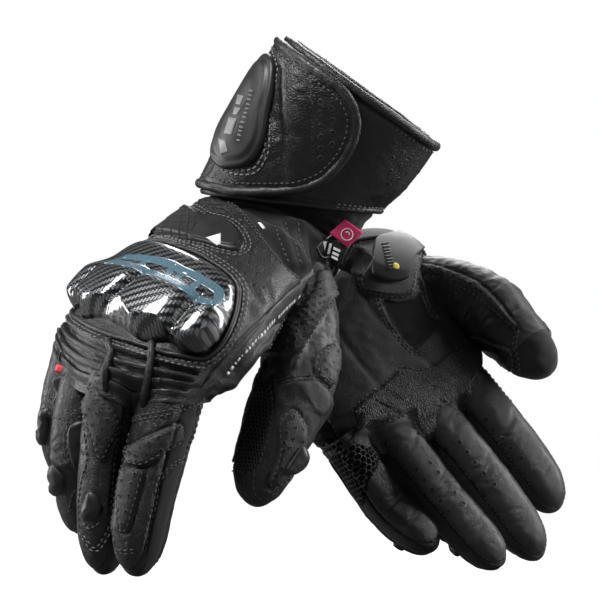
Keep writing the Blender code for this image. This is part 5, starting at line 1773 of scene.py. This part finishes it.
def sculpt_thumb(skin):
    degrees = np.degrees(skin.angle)
    skin.roughen(0.30, 61, (17.0, 7.0))
    skin.paint((degrees > 200) & (degrees < 345), "palm")
    # crumpled leather on the root, step at the hem of the end section
    crumple = 0.30 * np.abs(ripple(skin.base * [1, 1, 1.8], 8.0, 71)) - 0.15
    skin.height += smooth((2.05 - skin.x) / 0.3) * crumple
    hem = MARKS["thumb_hem"]
    middle = hem[:, 1].mean()
    angle = wrap(skin.angle - middle) + middle
    hem_x = interpolate(hem, angle, by=1)
    on_back = (angle > hem[:, 1].min() - 0.3) & (angle < hem[:, 1].max() + 0.5)
    skin.height += (1.4 * smooth((skin.x - hem_x) / 0.06) * smooth((2.85 - skin.x) / 0.6)
                    * np.where(on_back, 1, 0.4))
    skin.pad(MARKS["thumb_web"], 0.9, 1.4, "perf", crown=0.3, reach=6.0)
    skin.ridge(MARKS["thumb_web_seam"], 1.3, 1.2)
    skin.pad(MARKS["thumb_shield"], 1.3, 1.8, "perf", crown=0.4, reach=4.0)
    skin.pad(MARKS["thumb_pad"], 1.6, 2.2, "perf", crown=0.6, reach=5.0)
    skin.pad(MARKS["thumb_triangle"], 0.7, 1.2, "perf")
    inside = skin.inside(MARKS["thumb_net"])
    skin.paint(inside, "backing_and_valley_shade")
    skin.height[inside] -= 0.3
    skin.ridge(MARKS["thumb_seam"], 0.8, -0.6)
    skin.ridge(MARKS["thumb_seam3"], 0.8, -0.5)
    for mark in ("thumb_shield", "thumb_pad", "thumb_side"):
        skin.ridge(MARKS[mark], 0.8, -0.8, closed=True)
    # palm side
    low, top = MARKS["thumb_strip_low"], MARKS["thumb_strip_top"]
    skin.ridge(low, 0.8, -0.7)
    skin.ridge(top, 0.8, -0.7)
    skin.pad(np.vstack([low, top[::-1]]), 0.7, 1.4, "perf", crown=0.4, reach=4.0)
    skin.pad(MARKS["thumb_side"], 0.8, 1.3, "grained")
    tip = MARKS["thumb_tip_edge"]
    facing = np.abs(wrap(skin.angle - tip[:, 1].mean())) < math.radians(95)
    skin.paint((skin.x > tip[:, 0].mean()) & facing, "suede")
    skin.ridge(tip, 0.8, -0.5)
    skin.crease(2.95, 0.22, 4, 0.5, 91, 270, 60)
    skin.crease(2.05, 0.16, 3, 0.45, 93, 270, 70)
    skin.settle()


for glove in GLOVES:
    sculpt_hand(glove)
    sculpt_cuff(glove.cuff)
    sculpt_flap(glove.flap)
    for name in FINGER_SIZE:
        sculpt_finger(glove.digits[name], name)
    sculpt_thumb(glove.digits["thumb"])


# ------------------------------------------------------------- building pass
def build_hand_body(glove):
    """The hand, and the fourchette cloth between the fingers that closes its end."""
    skin = glove.hand
    rig = skin.rig(0)
    replaced = [glove.named(part) for part in (
        "hand_shell", "thumb_gusset", "flex_panel", "palm_stretch_panel", "ulnar_mesh_panel")]
    give(skin.build(glove.named("hand")), rig, replaced)
    last = skin.top[-1]
    depth = 3.5
    centre, _, along, _ = frame_at(skin.host, 6.0)
    rings = [last] + [
        last + (centre - last) * share ** 1.1
        + along * (depth * math.sin(min(share * 2.2, 1.0) * math.pi / 2))
        for share in np.linspace(0.08, 1.0, 12)[:-1]]
    columns = len(last)
    count = len(rings) * columns
    ob = make_mesh(glove.named("finger_webs"), np.vstack(rings + [(centre + along * depth)[None]]),
                   grid_faces(len(rings), columns, True),
                   np.roll(fan(count, count - columns, columns), -1, axis=1), ["fourchette"])
    give(ob, rig)


def sew_hand_back(hand, welt_name):
    double_stitch(hand, MARKS["hem"])
    double_stitch(hand, grow(hand, MARKS["back_guard"], 2.6), 2.2, True,
                  thread="thread_grey", width=0.34)
    for distance in (3.4, 5.6):
        stitch(hand, grow(hand, WELT_OUTLINE, distance), True, thread="thread_grey", width=0.40)
    piping(hand, grow(hand, WELT_OUTLINE, 1.4), 1.1, 0.7, welt_name)
    for rib in ("rib1", "rib2", "rib3"):
        stitch(hand, offset_path(hand, MARKS[rib], 2.9))
    stitch(hand, MARKS["web_seam"], lift=0.5)
    holes(hand, MARKS["hand_holes"])
    holes(hand, lattice(hand, MARKS["web_panel"], 4.3, 2.2), 0.55, "perf")
    # rows between the accordion ribs, and one before the first
    for k in range(1, 5):
        x = RIBS_START + RIB_PITCH * k
        stitch(hand, degree_spline([(x, 34), (x, 92), (x, 150)], 12), lift=-0.3)
    stitch(hand, degree_spline([(4.83, 30), (4.80, 60), (4.80, 92), (4.80, 125), (4.83, 154)],
                               10))


def sew_palm(glove):
    hand = glove.hand
    double_stitch(hand, MARKS["heel_plate"], closed=True)
    double_stitch(hand, MARKS["insert_edge"])
    double_stitch(hand, MARKS["thumb_edge"])
    double_stitch(hand, MARKS["grip"], 1.9, True)
    double_stitch(hand, MARKS["grip_seam1"], 1.9)
    double_stitch(hand, MARKS["grip_seam2"], 1.9)
    stitch(hand, MARKS["net"], True)
    # grip reinforcement: its own printed suede layer
    plate(glove.named("grip_reinforcement"), hand, MARKS["grip"], gap=0.06, height=0.45,
          material="grip", edge=0.9, rings=30, spokes=260,
          replaces=(glove.named("palm_grip_patch"),))
    honeycomb(hand, MARKS["net"], 3.0, 0.36, glove.named("honeycomb_mesh"))
    honeycomb(glove.digits["pinky"], MARKS["finger_net"], 3.0, 0.36,
              glove.named("honeycomb_finger"))


def print_hand_marks(glove):
    """A line of white ticks of uneven width, and a small label."""
    hand, line = glove.hand, MARKS["print_line"]
    lengths = run_length(hand.at(line)[0])
    rng = np.random.RandomState(5)
    place = 1.0
    while place < lengths[-1] - 2.5:
        width = rng.choice([0.9, 1.4, 2.0])
        ribbon(hand, rows_at(line, lengths, [place, place + width]), 1.7, 0.22, "white",
               glove.named("side_ticks"), 2)
        place += width + rng.choice([0.9, 1.3, 3.2], p=[0.5, 0.35, 0.15])
    ribbon(hand, MARKS["white_label"], 1.6, 0.25, "white", glove.named("small_label"), 2)


def back_plate_shape(inset, rows, surface):
    return 0.9 * smooth((inset - 2.6) / 1.2)


def cuff_guard_shape(inset, rows, surface):
    return 1.1 * smooth((inset - 3) / 3) + 0.9 * smooth((inset - 9) / 8)


def heel_shape(inset, rows, surface):
    """Fill the low parts, for a flat block on a round heel."""
    rim = surface[-1]
    quarter = len(rim) // 4
    up = unit(np.cross(rim[len(rim) // 2] - rim[0], rim[3 * len(rim) // 4] - rim[quarter])[None])
    up = up[0] * np.sign((surface[0].mean(0) - rim.mean(0)) @ up[0])
    level = surface @ up
    return 0.5 * np.clip(level.max() - level, 0, 2.8)


def guard_shape(skin):
    """Knuckle guard: a dome with four lobes at its finger edge, parted by clefts."""
    clefts = [skin.at(cleft)[0] for cleft in GUARD_CLEFTS]

    def shape(inset, rows, surface):
        x = rows[..., 0]
        flat = surface.reshape(-1, 3)
        near = np.minimum.reduce([
            np.min(np.linalg.norm(flat[:, None] - cleft[None], axis=-1), axis=1)
            for cleft in clefts]).reshape(x.shape)
        front = smooth((x - 3.62) / 0.42)
        lobe = 5.6 * front * quarter_round(near / 10.5)
        slit = 1.6 * smooth((x - 3.72) / 0.2) * bell(near / 0.9)
        fall = 1.6 * smooth((x - 4.42) / 0.25)
        return lobe - slit - fall - 1.6 * front * bell(near / 2.2)
    return shape


def build_hand_plates(glove):
    """Back plate, knuckle guard and heel slider; returns the top of the knuckle guard."""
    hand, named = glove.hand, glove.named
    ob = plate(named("back_plate"), hand, MARKS["back_guard"], gap=0.1, height=3.0,
               material="tpu", edge=2.6, shape=back_plate_shape, rings=34, spokes=200,
               replaces=(named("back_guard"),), clean=0.8, under=-0.9)
    top = PlateTop(ob, hand)
    # the grooves are near-black strips laid on the plate top: painted shade, not cut in
    for path in MARKS["slots"]:
        top.ribbon(path, 0.95, 0.10, "painted_shade", named("plate_slots"), 3)
    top.patch(MARKS["plate_mark"], 0.12, "white", named("plate_mark"))
    guard = plate(named("knuckle_guard_shell"), hand, GUARD_OUTLINE, gap=0.4, height=6.6,
                  material="carbon", edge=10.0, shape=guard_shape(hand), rings=int(96 / STEP),
                  spokes=int(400 / STEP), replaces=(named("knuckle_guard"),), roundness=2.2,
                  clean=0.9, under=-1.2)
    ob = plate(named("heel_slider"), hand, MARKS["heel_block"], gap=0.2, height=2.0,
               material="tpu", edge=1.5, shape=heel_shape, rings=34, spokes=160,
               replaces=(named("palm_slider"),), clean=1.0, under=-0.9)
    top = PlateTop(ob, hand)
    for tick in MARKS["heel_ticks"]:
        top.ribbon(spline(tick, 3), 0.8, 0.35, "tpu", named("heel_marks"), 3,
                   taper=[0.7, 1, 1, 0.7])
    top.ribbon(MARKS["dot"], 3.6, 0.12, "yellow", named("yellow_dot"),
               taper=[0.35, 0.85, 1.0, 1.0, 0.85, 0.35])
    return PlateTop(guard, hand)


def cuff_shell(name, skin, thickness):
    """The cuff wall: sculpted leather outside, smooth lining inside, round rims."""
    outside, inside = skin.top, skin.base - skin.normal * thickness
    along = skin.host.frame(skin.xs)[2]

    def rim(start, stop, outward):
        return [(start + stop) / 2 + (start - stop) / 2 * math.cos(a)
                + outward * thickness / 2 * math.sin(a) for a in np.linspace(0, math.pi, 6)[1:-1]]

    rows = list(outside) + rim(outside[-1], inside[-1], along[-1]) + list(inside[::-3])
    if (len(inside) - 1) % 3:
        rows.append(inside[0])
    leather_rows = len(outside) + 2
    part = [0] * leather_rows + [1] * (len(rows) - leather_rows)
    lower = rim(inside[0], outside[0], -along[0])
    rows += lower
    part += [0] * len(lower)
    grid = np.stack(rows)
    return make_mesh(name, grid.reshape(-1, 3), grid_faces(*grid.shape[:2], True, ring=True),
                     materials=["grained", "lining"], part=np.repeat(part, skin.columns))


def build_cuff(glove):
    cuff = glove.cuff
    rig = cuff.rig(0)
    ob = cuff_shell(glove.named("cuff_body"), cuff, 2.4)
    give(ob, rig, (glove.named("cuff_shell"),))
    for x, thread in ((0.05, "thread"), (0.13, "thread_grey"), (1.87, "thread"),
                      (1.95, "thread")):
        stitch(cuff, degree_spline([(x, -170), (x, -54), (x, 62)], 40), thread=thread)
    holes(cuff, MARKS["cuff_holes"])
    # padded bindings: name, x, points round, radius, unevenness, sides
    for name, x, count, radius, uneven, sides in (("mouth_binding", 2.0, 240, 2.5, 0.05, 14),
                                                  ("wrist_binding", 0.0, 200, 1.7, 0.0, 12)):
        angles = np.linspace(0, TURN, count, endpoint=False)
        points, normals = cuff.at(np.stack([np.full(count, x), angles], -1), -1.2)
        points = closed_loop(points)
        radius = radius * (1 + uneven * ripple(points, 6, 9))
        add_batch(rig, "piping", glove.named(name),
                  *tube(points, closed_loop(normals), radius, sides))


def build_gaiter(glove):
    """Microfibre tube from the hand into the cuff."""
    rows, columns = 26, 220
    angles = TURN * np.arange(columns) / columns
    ends = []
    for host, x, inset in ((glove.hand.host, 1.05, 0.07), (glove.cuff.host, 0.42, 0.13)):
        centre = frame_at(host, x)[0]
        ring = host.point(np.full(columns, x), angles)
        ends.append((centre, ring + (centre - ring) * inset))
    (hand_centre, hand_ring), (cuff_centre, cuff_ring) = ends
    grid = []
    for k in range(rows):
        share = k / (rows - 1)
        ring = hand_ring * (1 - share) + cuff_ring * share
        centre = hand_centre * (1 - share) + cuff_centre * share
        swell = math.sin(math.pi * share)
        ring = ring + (ring - centre) * (0.06 * swell + 0.012 * math.sin(9 * math.pi * share))
        ring = ring + unit(ring - centre) * (0.5 * ripple(ring, 12, 15) * swell)[:, None]
        grid.append(ring)
    ob = make_mesh(glove.named("wrist_gaiter"), np.vstack(grid), grid_faces(rows, columns, True),
                   materials=["wristcloth"])
    span = cuff_centre - hand_centre
    rig = Rig(glove.named("hand"), glove.named("cuff"),
              bend=(hand_centre + span * 0.06, hand_centre + span * 0.94))
    give(ob, rig)


def build_flap(glove):
    """The flap with its piping, stitching and guard."""
    flap, named = glove.flap, glove.named
    plate(named("cuff_flap_leather"), flap, FLAP_OUTLINE, gap=-1.5, height=1.5,
          material="grained", edge=2.2, rings=int(90 / STEP), spokes=int(420 / STEP),
          replaces=(named("cuff_flap"),), under=-2.9)
    piping(flap, FLAP_OUTLINE, 2.5, -1.3, named("flap_piping"), pucker=0.04, sides=16)
    stitch(flap, grow(flap, FLAP_OUTLINE, -4.2), True)
    double_stitch(flap, MARKS["cuff_guard_seam"], 2.3, thread="thread_grey", width=0.5,
                  length=2.3, pitch=3.2)
    holes(flap, MARKS["flap_holes"], 1.05, "perf")
    ob = plate(named("cuff_guard_plate"), flap, CUFF_GUARD_OUTLINE, gap=0.4, height=2.6,
               material="tpu", edge=2.2, shape=cuff_guard_shape, rings=46, spokes=260,
               replaces=(named("cuff_guard"),), clean=0.3, under=-1.0)
    top = PlateTop(ob, flap)
    for corners in MARKS["chevrons"]:
        top.patch(corners, 0.35, "tpu_light", named("guard_chevrons"), 8)
    for tick in MARKS["guard_ticks"]:
        top.ribbon(spline(tick, 2), 0.9, 0.12, "tpu_light", named("guard_ticks"), 2)


def build_digit(glove, name):
    """A finger or thumb in two pieces, parted at its split."""
    skin = glove.digits[name]
    part = int(np.argmin(np.abs(skin.xs - skin.split)))
    ob = skin.build(glove.named(name + "_lower"), rows=(0, part))
    give(ob, skin.rig(skin.split - 0.1), (glove.named(name + "_base"),))
    ob = skin.build(glove.named(name + "_upper"), rows=(part, len(skin.xs) - 1),
                    cap=skin.top[-1].mean(0))
    give(ob, skin.rig(skin.split + 0.1), (glove.named(name + "_tip"),))


def sew_fingers(digits):
    for name in FINGER_SIZE:
        skin = digits[name]
        stitch(skin, grow(skin, FINGER_PALM, -1.3)[1:-1], pitch=2.6, length=1.6, width=0.30,
               lift=0.0)
        if name != "pinky":
            holes(skin, MARKS[name + "_palm_holes"], 1.05, "palm")
    index = digits["index"]
    double_stitch(index, MARKS["index_hem"])
    stitch(index, grow(index, MARKS["index_pad1"], -1.5), True)
    stitch(index, grow(index, MARKS["index_pad2"], -1.5), True)
    double_stitch(index, MARKS["index_seam"], 1.8)
    stitch(index, MARKS["index_left"])
    double_stitch(index, MARKS["index_tiprow"], 1.6)
    holes(index, MARKS["index_holes"], 0.74, "perf")
    middle = digits["middle"]
    stitch(middle, grow(middle, MARKS["middle_pad"], -1.5), True)
    holes(middle, MARKS["middle_holes"], 0.74, "perf")
    stitch(middle, MARKS["middle_left"])
    stitch(middle, MARKS["middle_right"])
    double_stitch(middle, MARKS["middle_vee"], 1.7, thread="thread_grey", width=0.36)
    stitch(middle, MARKS["middle_vee2"], thread="thread_grey", width=0.36)
    stitch(digits["ring"], MARKS["ring_line"])


def sew_thumb(thumb, net_name):
    double_stitch(thumb, MARKS["thumb_hem"], -2.0)
    stitch(thumb, grow(thumb, MARKS["thumb_shield"], -1.3), True)
    stitch(thumb, grow(thumb, MARKS["thumb_pad"], -1.6), True)
    stitch(thumb, MARKS["thumb_web_seam"], lift=0.5)
    holes(thumb, lattice(thumb, MARKS["thumb_web"], 4.2, 2.0), 0.68, "perf")
    for mark in ("thumb_seam", "thumb_seam2", "thumb_seam3", "thumb_strip_low",
                 "thumb_strip_top"):
        stitch(thumb, MARKS[mark])
    double_stitch(thumb, MARKS["thumb_tip_edge"], 1.7)
    stitch(thumb, grow(thumb, MARKS["thumb_side"], -1.2), True)
    for mark in ("thumb_holes", "thumb_shield_holes", "thumb_strip_holes"):
        holes(thumb, MARKS[mark], 0.70, "perf")
    honeycomb(thumb, MARKS["thumb_net"], 2.3, 0.34, net_name, 0.3)


def build_studs(glove):
    """Low moulded studs on the digits, plates on two fingers and a red tag."""
    for name, height in (("middle", 3.0), ("ring", 3.0), ("pinky", 2.4), ("thumb", 2.3)):
        slider = name + "_slider"
        plate(glove.named(name + "_stud"), glove.digits[name], MARKS[slider], gap=0.0,
              height=height, material="tpu", edge=4.2, rings=16, spokes=64,
              replaces=(glove.named(slider),), roundness=1.25)
    for name in ("ring", "pinky"):
        plate(glove.named(name + "_knuckle_plate"), glove.digits[name], MARKS[name + "_guard"],
              gap=0.0, height=1.8, material="tpu", edge=2.4, rings=16, spokes=80)
    ribbon(glove.digits["pinky"], MARKS["pinky_tag"], 3.4, 0.35, "red",
           glove.named("red_tag"), 4)


def build_bands_and_cords(glove, guard_top):
    """Blue bands on the knuckle guard, and two round cords over the hand's finger end."""
    hand = glove.hand
    for k, path in enumerate(MARKS["bands"]):
        guard_top.ribbon(spline(path, 5), 5.2 if k < 2 else 3.6, 0.10, "blue",
                         glove.named("guard_bands"), 7, thickness=0.3, step=1.0)
    for path in MARKS["cords"]:
        points, normals = hand.at(resample(hand, spline(path, 5), 0.8), 1.5)
        points[0] -= normals[0] * 2.0
        points[-1] -= normals[-1] * 2.5
        for _ in range(40):
            points[1:-1] = 0.5 * points[1:-1] + 0.25 * (points[:-2] + points[2:])
        add_batch(hand.rig(0), "leather", glove.named("finger_cords"),
                  *tube(points, normals, 1.9, 14, ends=True))


def build_wire_loop(glove):
    hand = glove.hand
    normals = hand.at(WIRE_LOOP)[1]
    points = hand.host.point(WIRE_LOOP[:, 0], WIRE_LOOP[:, 1]) + normals * 2.2
    ob = make_mesh(glove.named("wire_loop"),
                   *tube(closed_loop(points), closed_loop(normals), 0.6), ["wire"])
    give(ob, hand.rig(0), (glove.named("strap_loop"),))


def host_surface(host, x, angle, step):
    """Points of the bare sleeve and their outward normals."""
    points = host.point(x, angle)
    normals = unit(np.cross(host.point(x + step, angle) - host.point(x - step, angle),
                            host.point(x, angle + step) - host.point(x, angle - step)))
    if ((points - frame_at(host, STRAP_X)[0]) * normals).sum() < 0:
        normals = -normals
    return points, normals


def slab(name, material, rig, upper, lower, replaces):
    """A closed object between two grids, walled round the border."""
    rows, columns = upper.shape[:2]
    count = rows * columns
    quads = grid_faces(rows, columns, False)
    border = ([i * columns for i in range(rows)]
              + [(rows - 1) * columns + j for j in range(1, columns)]
              + [i * columns + columns - 1 for i in range(rows - 2, -1, -1)]
              + list(range(columns - 2, 0, -1)))
    walls = [(b, a, a + count, b + count) for a, b in zip(border, border[1:] + border[:1])]
    ob = make_mesh(name, np.vstack([upper.reshape(-1, 3), lower.reshape(-1, 3)]),
                   np.vstack([quads, quads[:, ::-1] + count, walls]), materials=[material])
    orient(ob)
    give(ob, rig, (replaces,))


def build_strap(glove):
    """Webbing strap round the wrist, with white printed bars."""
    host = glove.hand.host
    angles = np.radians(np.linspace(246, 368, int(150 / STEP)))
    x, angle = np.meshgrid(np.linspace(0.92, 1.32, 13), angles, indexing="ij")
    points, normals = host_surface(host, x, angle, 0.02)
    rib = 0.12 * np.sin(np.arange(len(angles)) * 1.9)[None, :, None]
    slab(glove.named("wrist_strap_webbing"), "web", glove.strap, points + normals * (3.2 + rib),
         points + normals * 1.5, glove.named("wrist_strap"))
    middle = 1.12
    # bars: angle in degrees, half length in x
    for degrees, half in ((352, 0.10), (349, 0.16), (345.5, 0.08), (342, 0.18), (338, 0.12),
                          (334, 0.17)):
        bar = np.array([[(x, math.radians(degrees + edge + 0.35 * (x - middle) * 8))
                         for edge in (-1.1, 1.1)]
                        for x in np.linspace(middle - half, middle + half, 6)])
        surface = host.point(bar[..., 0], bar[..., 1])
        share = (bar[..., 1] - angles[0]) / (angles[-1] - angles[0])
        column = np.clip((share * (len(angles) - 1)).astype(int), 0, len(angles) - 1)
        outward = normals[6][column]
        strip(glove.strap, "white", glove.named("strap_bars"), surface + outward * 3.5,
              surface + outward * 3.05)


def build_pull_tab(glove):
    """A folded leather tab on the end of the strap, with two rows of stitches."""
    host = glove.hand.host
    points, normals = host_surface(host, np.array([STRAP_X]), np.radians([4.0]), 0.01)
    root = points[0] + normals[0] * 5.0
    _, along, across, _ = frame_at(host, STRAP_X)
    outward = unit(np.cross(along, across))
    upper, lower = [], []
    for a in np.linspace(-0.4, 13.0, 15):
        half = 7.5 * (1 - 0.22 * smooth((a - 8.5) / 4.5))
        wave = 0.25 * math.sin(a * 0.7)
        row = [(b, root + along * a + across * half * b) for b in np.linspace(-1, 1, 11)]
        upper.append([p + outward * (0.9 + wave + 0.35 * (1 - b * b)) for b, p in row])
        lower.append([p + outward * (-0.9 + wave - 0.2 * (1 - b * b)) for b, p in row])
    slab(glove.named("pull_tab_leather"), "leather", glove.strap, np.array(upper),
         np.array(lower), glove.named("pull_tab"))
    for b in (-0.74, 0.74):
        for a in np.arange(1.0, 11.5, 2.6):
            half = 7.0 * b * (1 - 0.18 * smooth((a - 8.5) / 4.5))
            add_bead(glove.strap, "thread_grey", glove.named("tab_stitches"),
                     root + along * a + across * half + outward * 1.25,
                     (along, across, outward), (1.8, 0.36, 0.32))


def build_tag(glove):
    """Woven tag with a ring emblem, and the printed strap end."""
    hand = glove.hand
    corners = strap_points(hand.host, TAG)
    facing = hand.sample(hand.normal, np.array([STRAP_X]), np.radians([20.0]))[0]
    normal = unit(np.cross(corners[2] - corners[0], corners[3] - corners[1]))
    if normal @ facing < 0:
        normal = -normal
    u, v = unit_grid(12)
    tag = bilinear(corners, u, v) + normal * (0.9 * np.sin(u * 3.1) + 0.3 * np.sin(v * 5))
    strip(glove.strap, "pink", glove.named("woven_tag"), tag + normal * 0.3, tag - normal * 0.3)
    for material, name, quads, thickness in (("web", "strap_end", [STRAP_END], 1.4),
                                             ("white", "strap_end_bars", STRAP_END_BARS, 0.8)):
        for quad in quads:
            grid = bilinear(strap_points(hand.host, quad), u, v)
            half = normal * thickness / 2
            strip(glove.strap, material, glove.named(name), grid + half, grid - half)
    centre = tag[6, 6]
    first = unit(corners[1] - corners[0])
    second = np.cross(normal, first)
    # a whole ring and a part ring: inner and outer radius, first and last 40th of a turn
    for inner, outer, start, stop in ((2.6, 3.1, 0, 40), (0.9, 1.5, 2, 18)):
        ring = np.stack([[centre + (first * math.cos(a) + second * math.sin(a)) * radius
                          + normal * 0.62 for radius in (inner, outer)]
                         for a in np.linspace(0, TURN, 41)[start:stop + 1]])
        strip(glove.strap, "white", glove.named("tag_emblem"), ring, ring - normal * 0.4)


def build(glove):
    build_hand_body(glove)
    sew_hand_back(glove.hand, glove.named("guard_welt"))
    sew_palm(glove)
    print_hand_marks(glove)
    guard_top = build_hand_plates(glove)
    build_cuff(glove)
    build_gaiter(glove)
    build_flap(glove)
    for name in glove.digits:
        build_digit(glove, name)
    sew_fingers(glove.digits)
    sew_thumb(glove.digits["thumb"], glove.named("thumb_mesh"))
    build_studs(glove)
    build_bands_and_cords(glove, guard_top)
    build_wire_loop(glove)
    build_strap(glove)
    build_pull_tab(glove)
    build_tag(glove)


for glove in GLOVES:
    build(glove)
flush_batches()


# ------------------------------------------------------------------- stage
# From here on lengths are metres.
def build_floor(radius=20, sides=24, height=-0.0006):
    """A wide, pale floor that glows only to the camera."""
    ring = [(radius * math.cos(TURN * k / sides), radius * math.sin(TURN * k / sides), height)
            for k in range(sides)]
    mesh = bpy.data.meshes.new("studio_floor")
    mesh.from_pydata([(0.0, 0.0, height)] + ring, [], fan(0, 1, sides).tolist())
    mesh.polygons.foreach_set("use_smooth", np.ones(sides, bool))
    ob = bpy.data.objects.new("studio_floor", mesh)
    bpy.context.scene.collection.objects.link(ob)
    floor = Shader("studio_white")
    floor.surface(Base_Color=(0.14, 0.14, 0.14, 1), Roughness=0.9, Specular_IOR_Level=0.1)
    lit = floor.tree.nodes["Principled BSDF"].outputs[0]
    camera_ray = floor.add("ShaderNodeLightPath", "Is Camera Ray", {})
    glow = floor.add("ShaderNodeEmission", 0, {0: (1, 1, 1, 1), 1: 1.0})
    glowing = floor.add("ShaderNodeAddShader", 0, {0: lit, 1: glow})
    mixed = floor.add("ShaderNodeMixShader", 0, {0: camera_ray, 1: lit, 2: glowing})
    floor.fill(floor.tree.nodes["Material Output"], {0: mixed})
    mesh.materials.append(floor.material)


def area_light(name, place, target, size, power, size_y=None):
    light = bpy.data.lights.new(name, "AREA")
    light.energy, light.size, light.color = power, size, (1, 1, 1)
    light.shape = "ELLIPSE"
    light.size_y = size_y or size
    ob = bpy.data.objects.new(name, light)
    ob.location = place
    ob.rotation_euler = (Vector(target) - Vector(place)).to_track_quat("-Z", "Y").to_euler()
    bpy.context.scene.collection.objects.link(ob)


def build_world():
    """White to the camera, and a faint cool fill for everything else."""
    world = bpy.data.worlds.new("studio_world")
    bpy.context.scene.world = world
    world.use_nodes = True
    tree = world.node_tree
    fill = tree.nodes["Background"]
    seen = tree.nodes.new("ShaderNodeBackground")
    for node, colour, strength in ((fill, (0.95, 0.97, 1.0, 1), 0.05), (seen, (1, 1, 1, 1), 1.0)):
        node.inputs[0].default_value = colour
        node.inputs[1].default_value = strength
    light_path = tree.nodes.new("ShaderNodeLightPath")
    mix = tree.nodes.new("ShaderNodeMixShader")
    tree.links.new(light_path.outputs["Is Camera Ray"], mix.inputs[0])
    tree.links.new(fill.outputs[0], mix.inputs[1])
    tree.links.new(seen.outputs[0], mix.inputs[2])
    tree.links.new(mix.outputs[0], tree.nodes["World Output"].inputs[0])


def build_camera():
    camera = bpy.data.cameras.new("camera")
    camera.sensor_width, camera.lens = 36.0, 120.5
    ob = bpy.data.objects.new("camera", camera)
    ob.location = tuple((EYE + SHIFT) * MM)
    ob.rotation_euler = (math.radians(90) + math.atan2(VIEW_RISE, -EYE[1]), 0, 0)
    bpy.context.scene.collection.objects.link(ob)
    bpy.context.scene.camera = ob
    bpy.context.scene.view_settings.view_transform = "Standard"


build_floor()
area_light("key_softbox", place=(-0.50, -0.55, 0.95), target=(-0.02, 0, 0.14), size=0.40,
           power=14.5)
area_light("right_strip", place=(0.80, 0.10, 0.42), target=(0, 0, 0.12), size=0.20, power=11.0,
           size_y=1.1)
area_light("left_strip", place=(-0.80, 0.18, 0.22), target=(0, 0, 0.10), size=0.18, power=6.0,
           size_y=1.0)
area_light("top_back", place=(0.15, 0.70, 0.85), target=(0, 0, 0.16), size=0.6, power=8.0)
area_light("front_fill", place=(0.95, -1.05, 0.12), target=(0.03, 0, 0.12), size=0.6, power=1.9)
build_world()
build_camera()
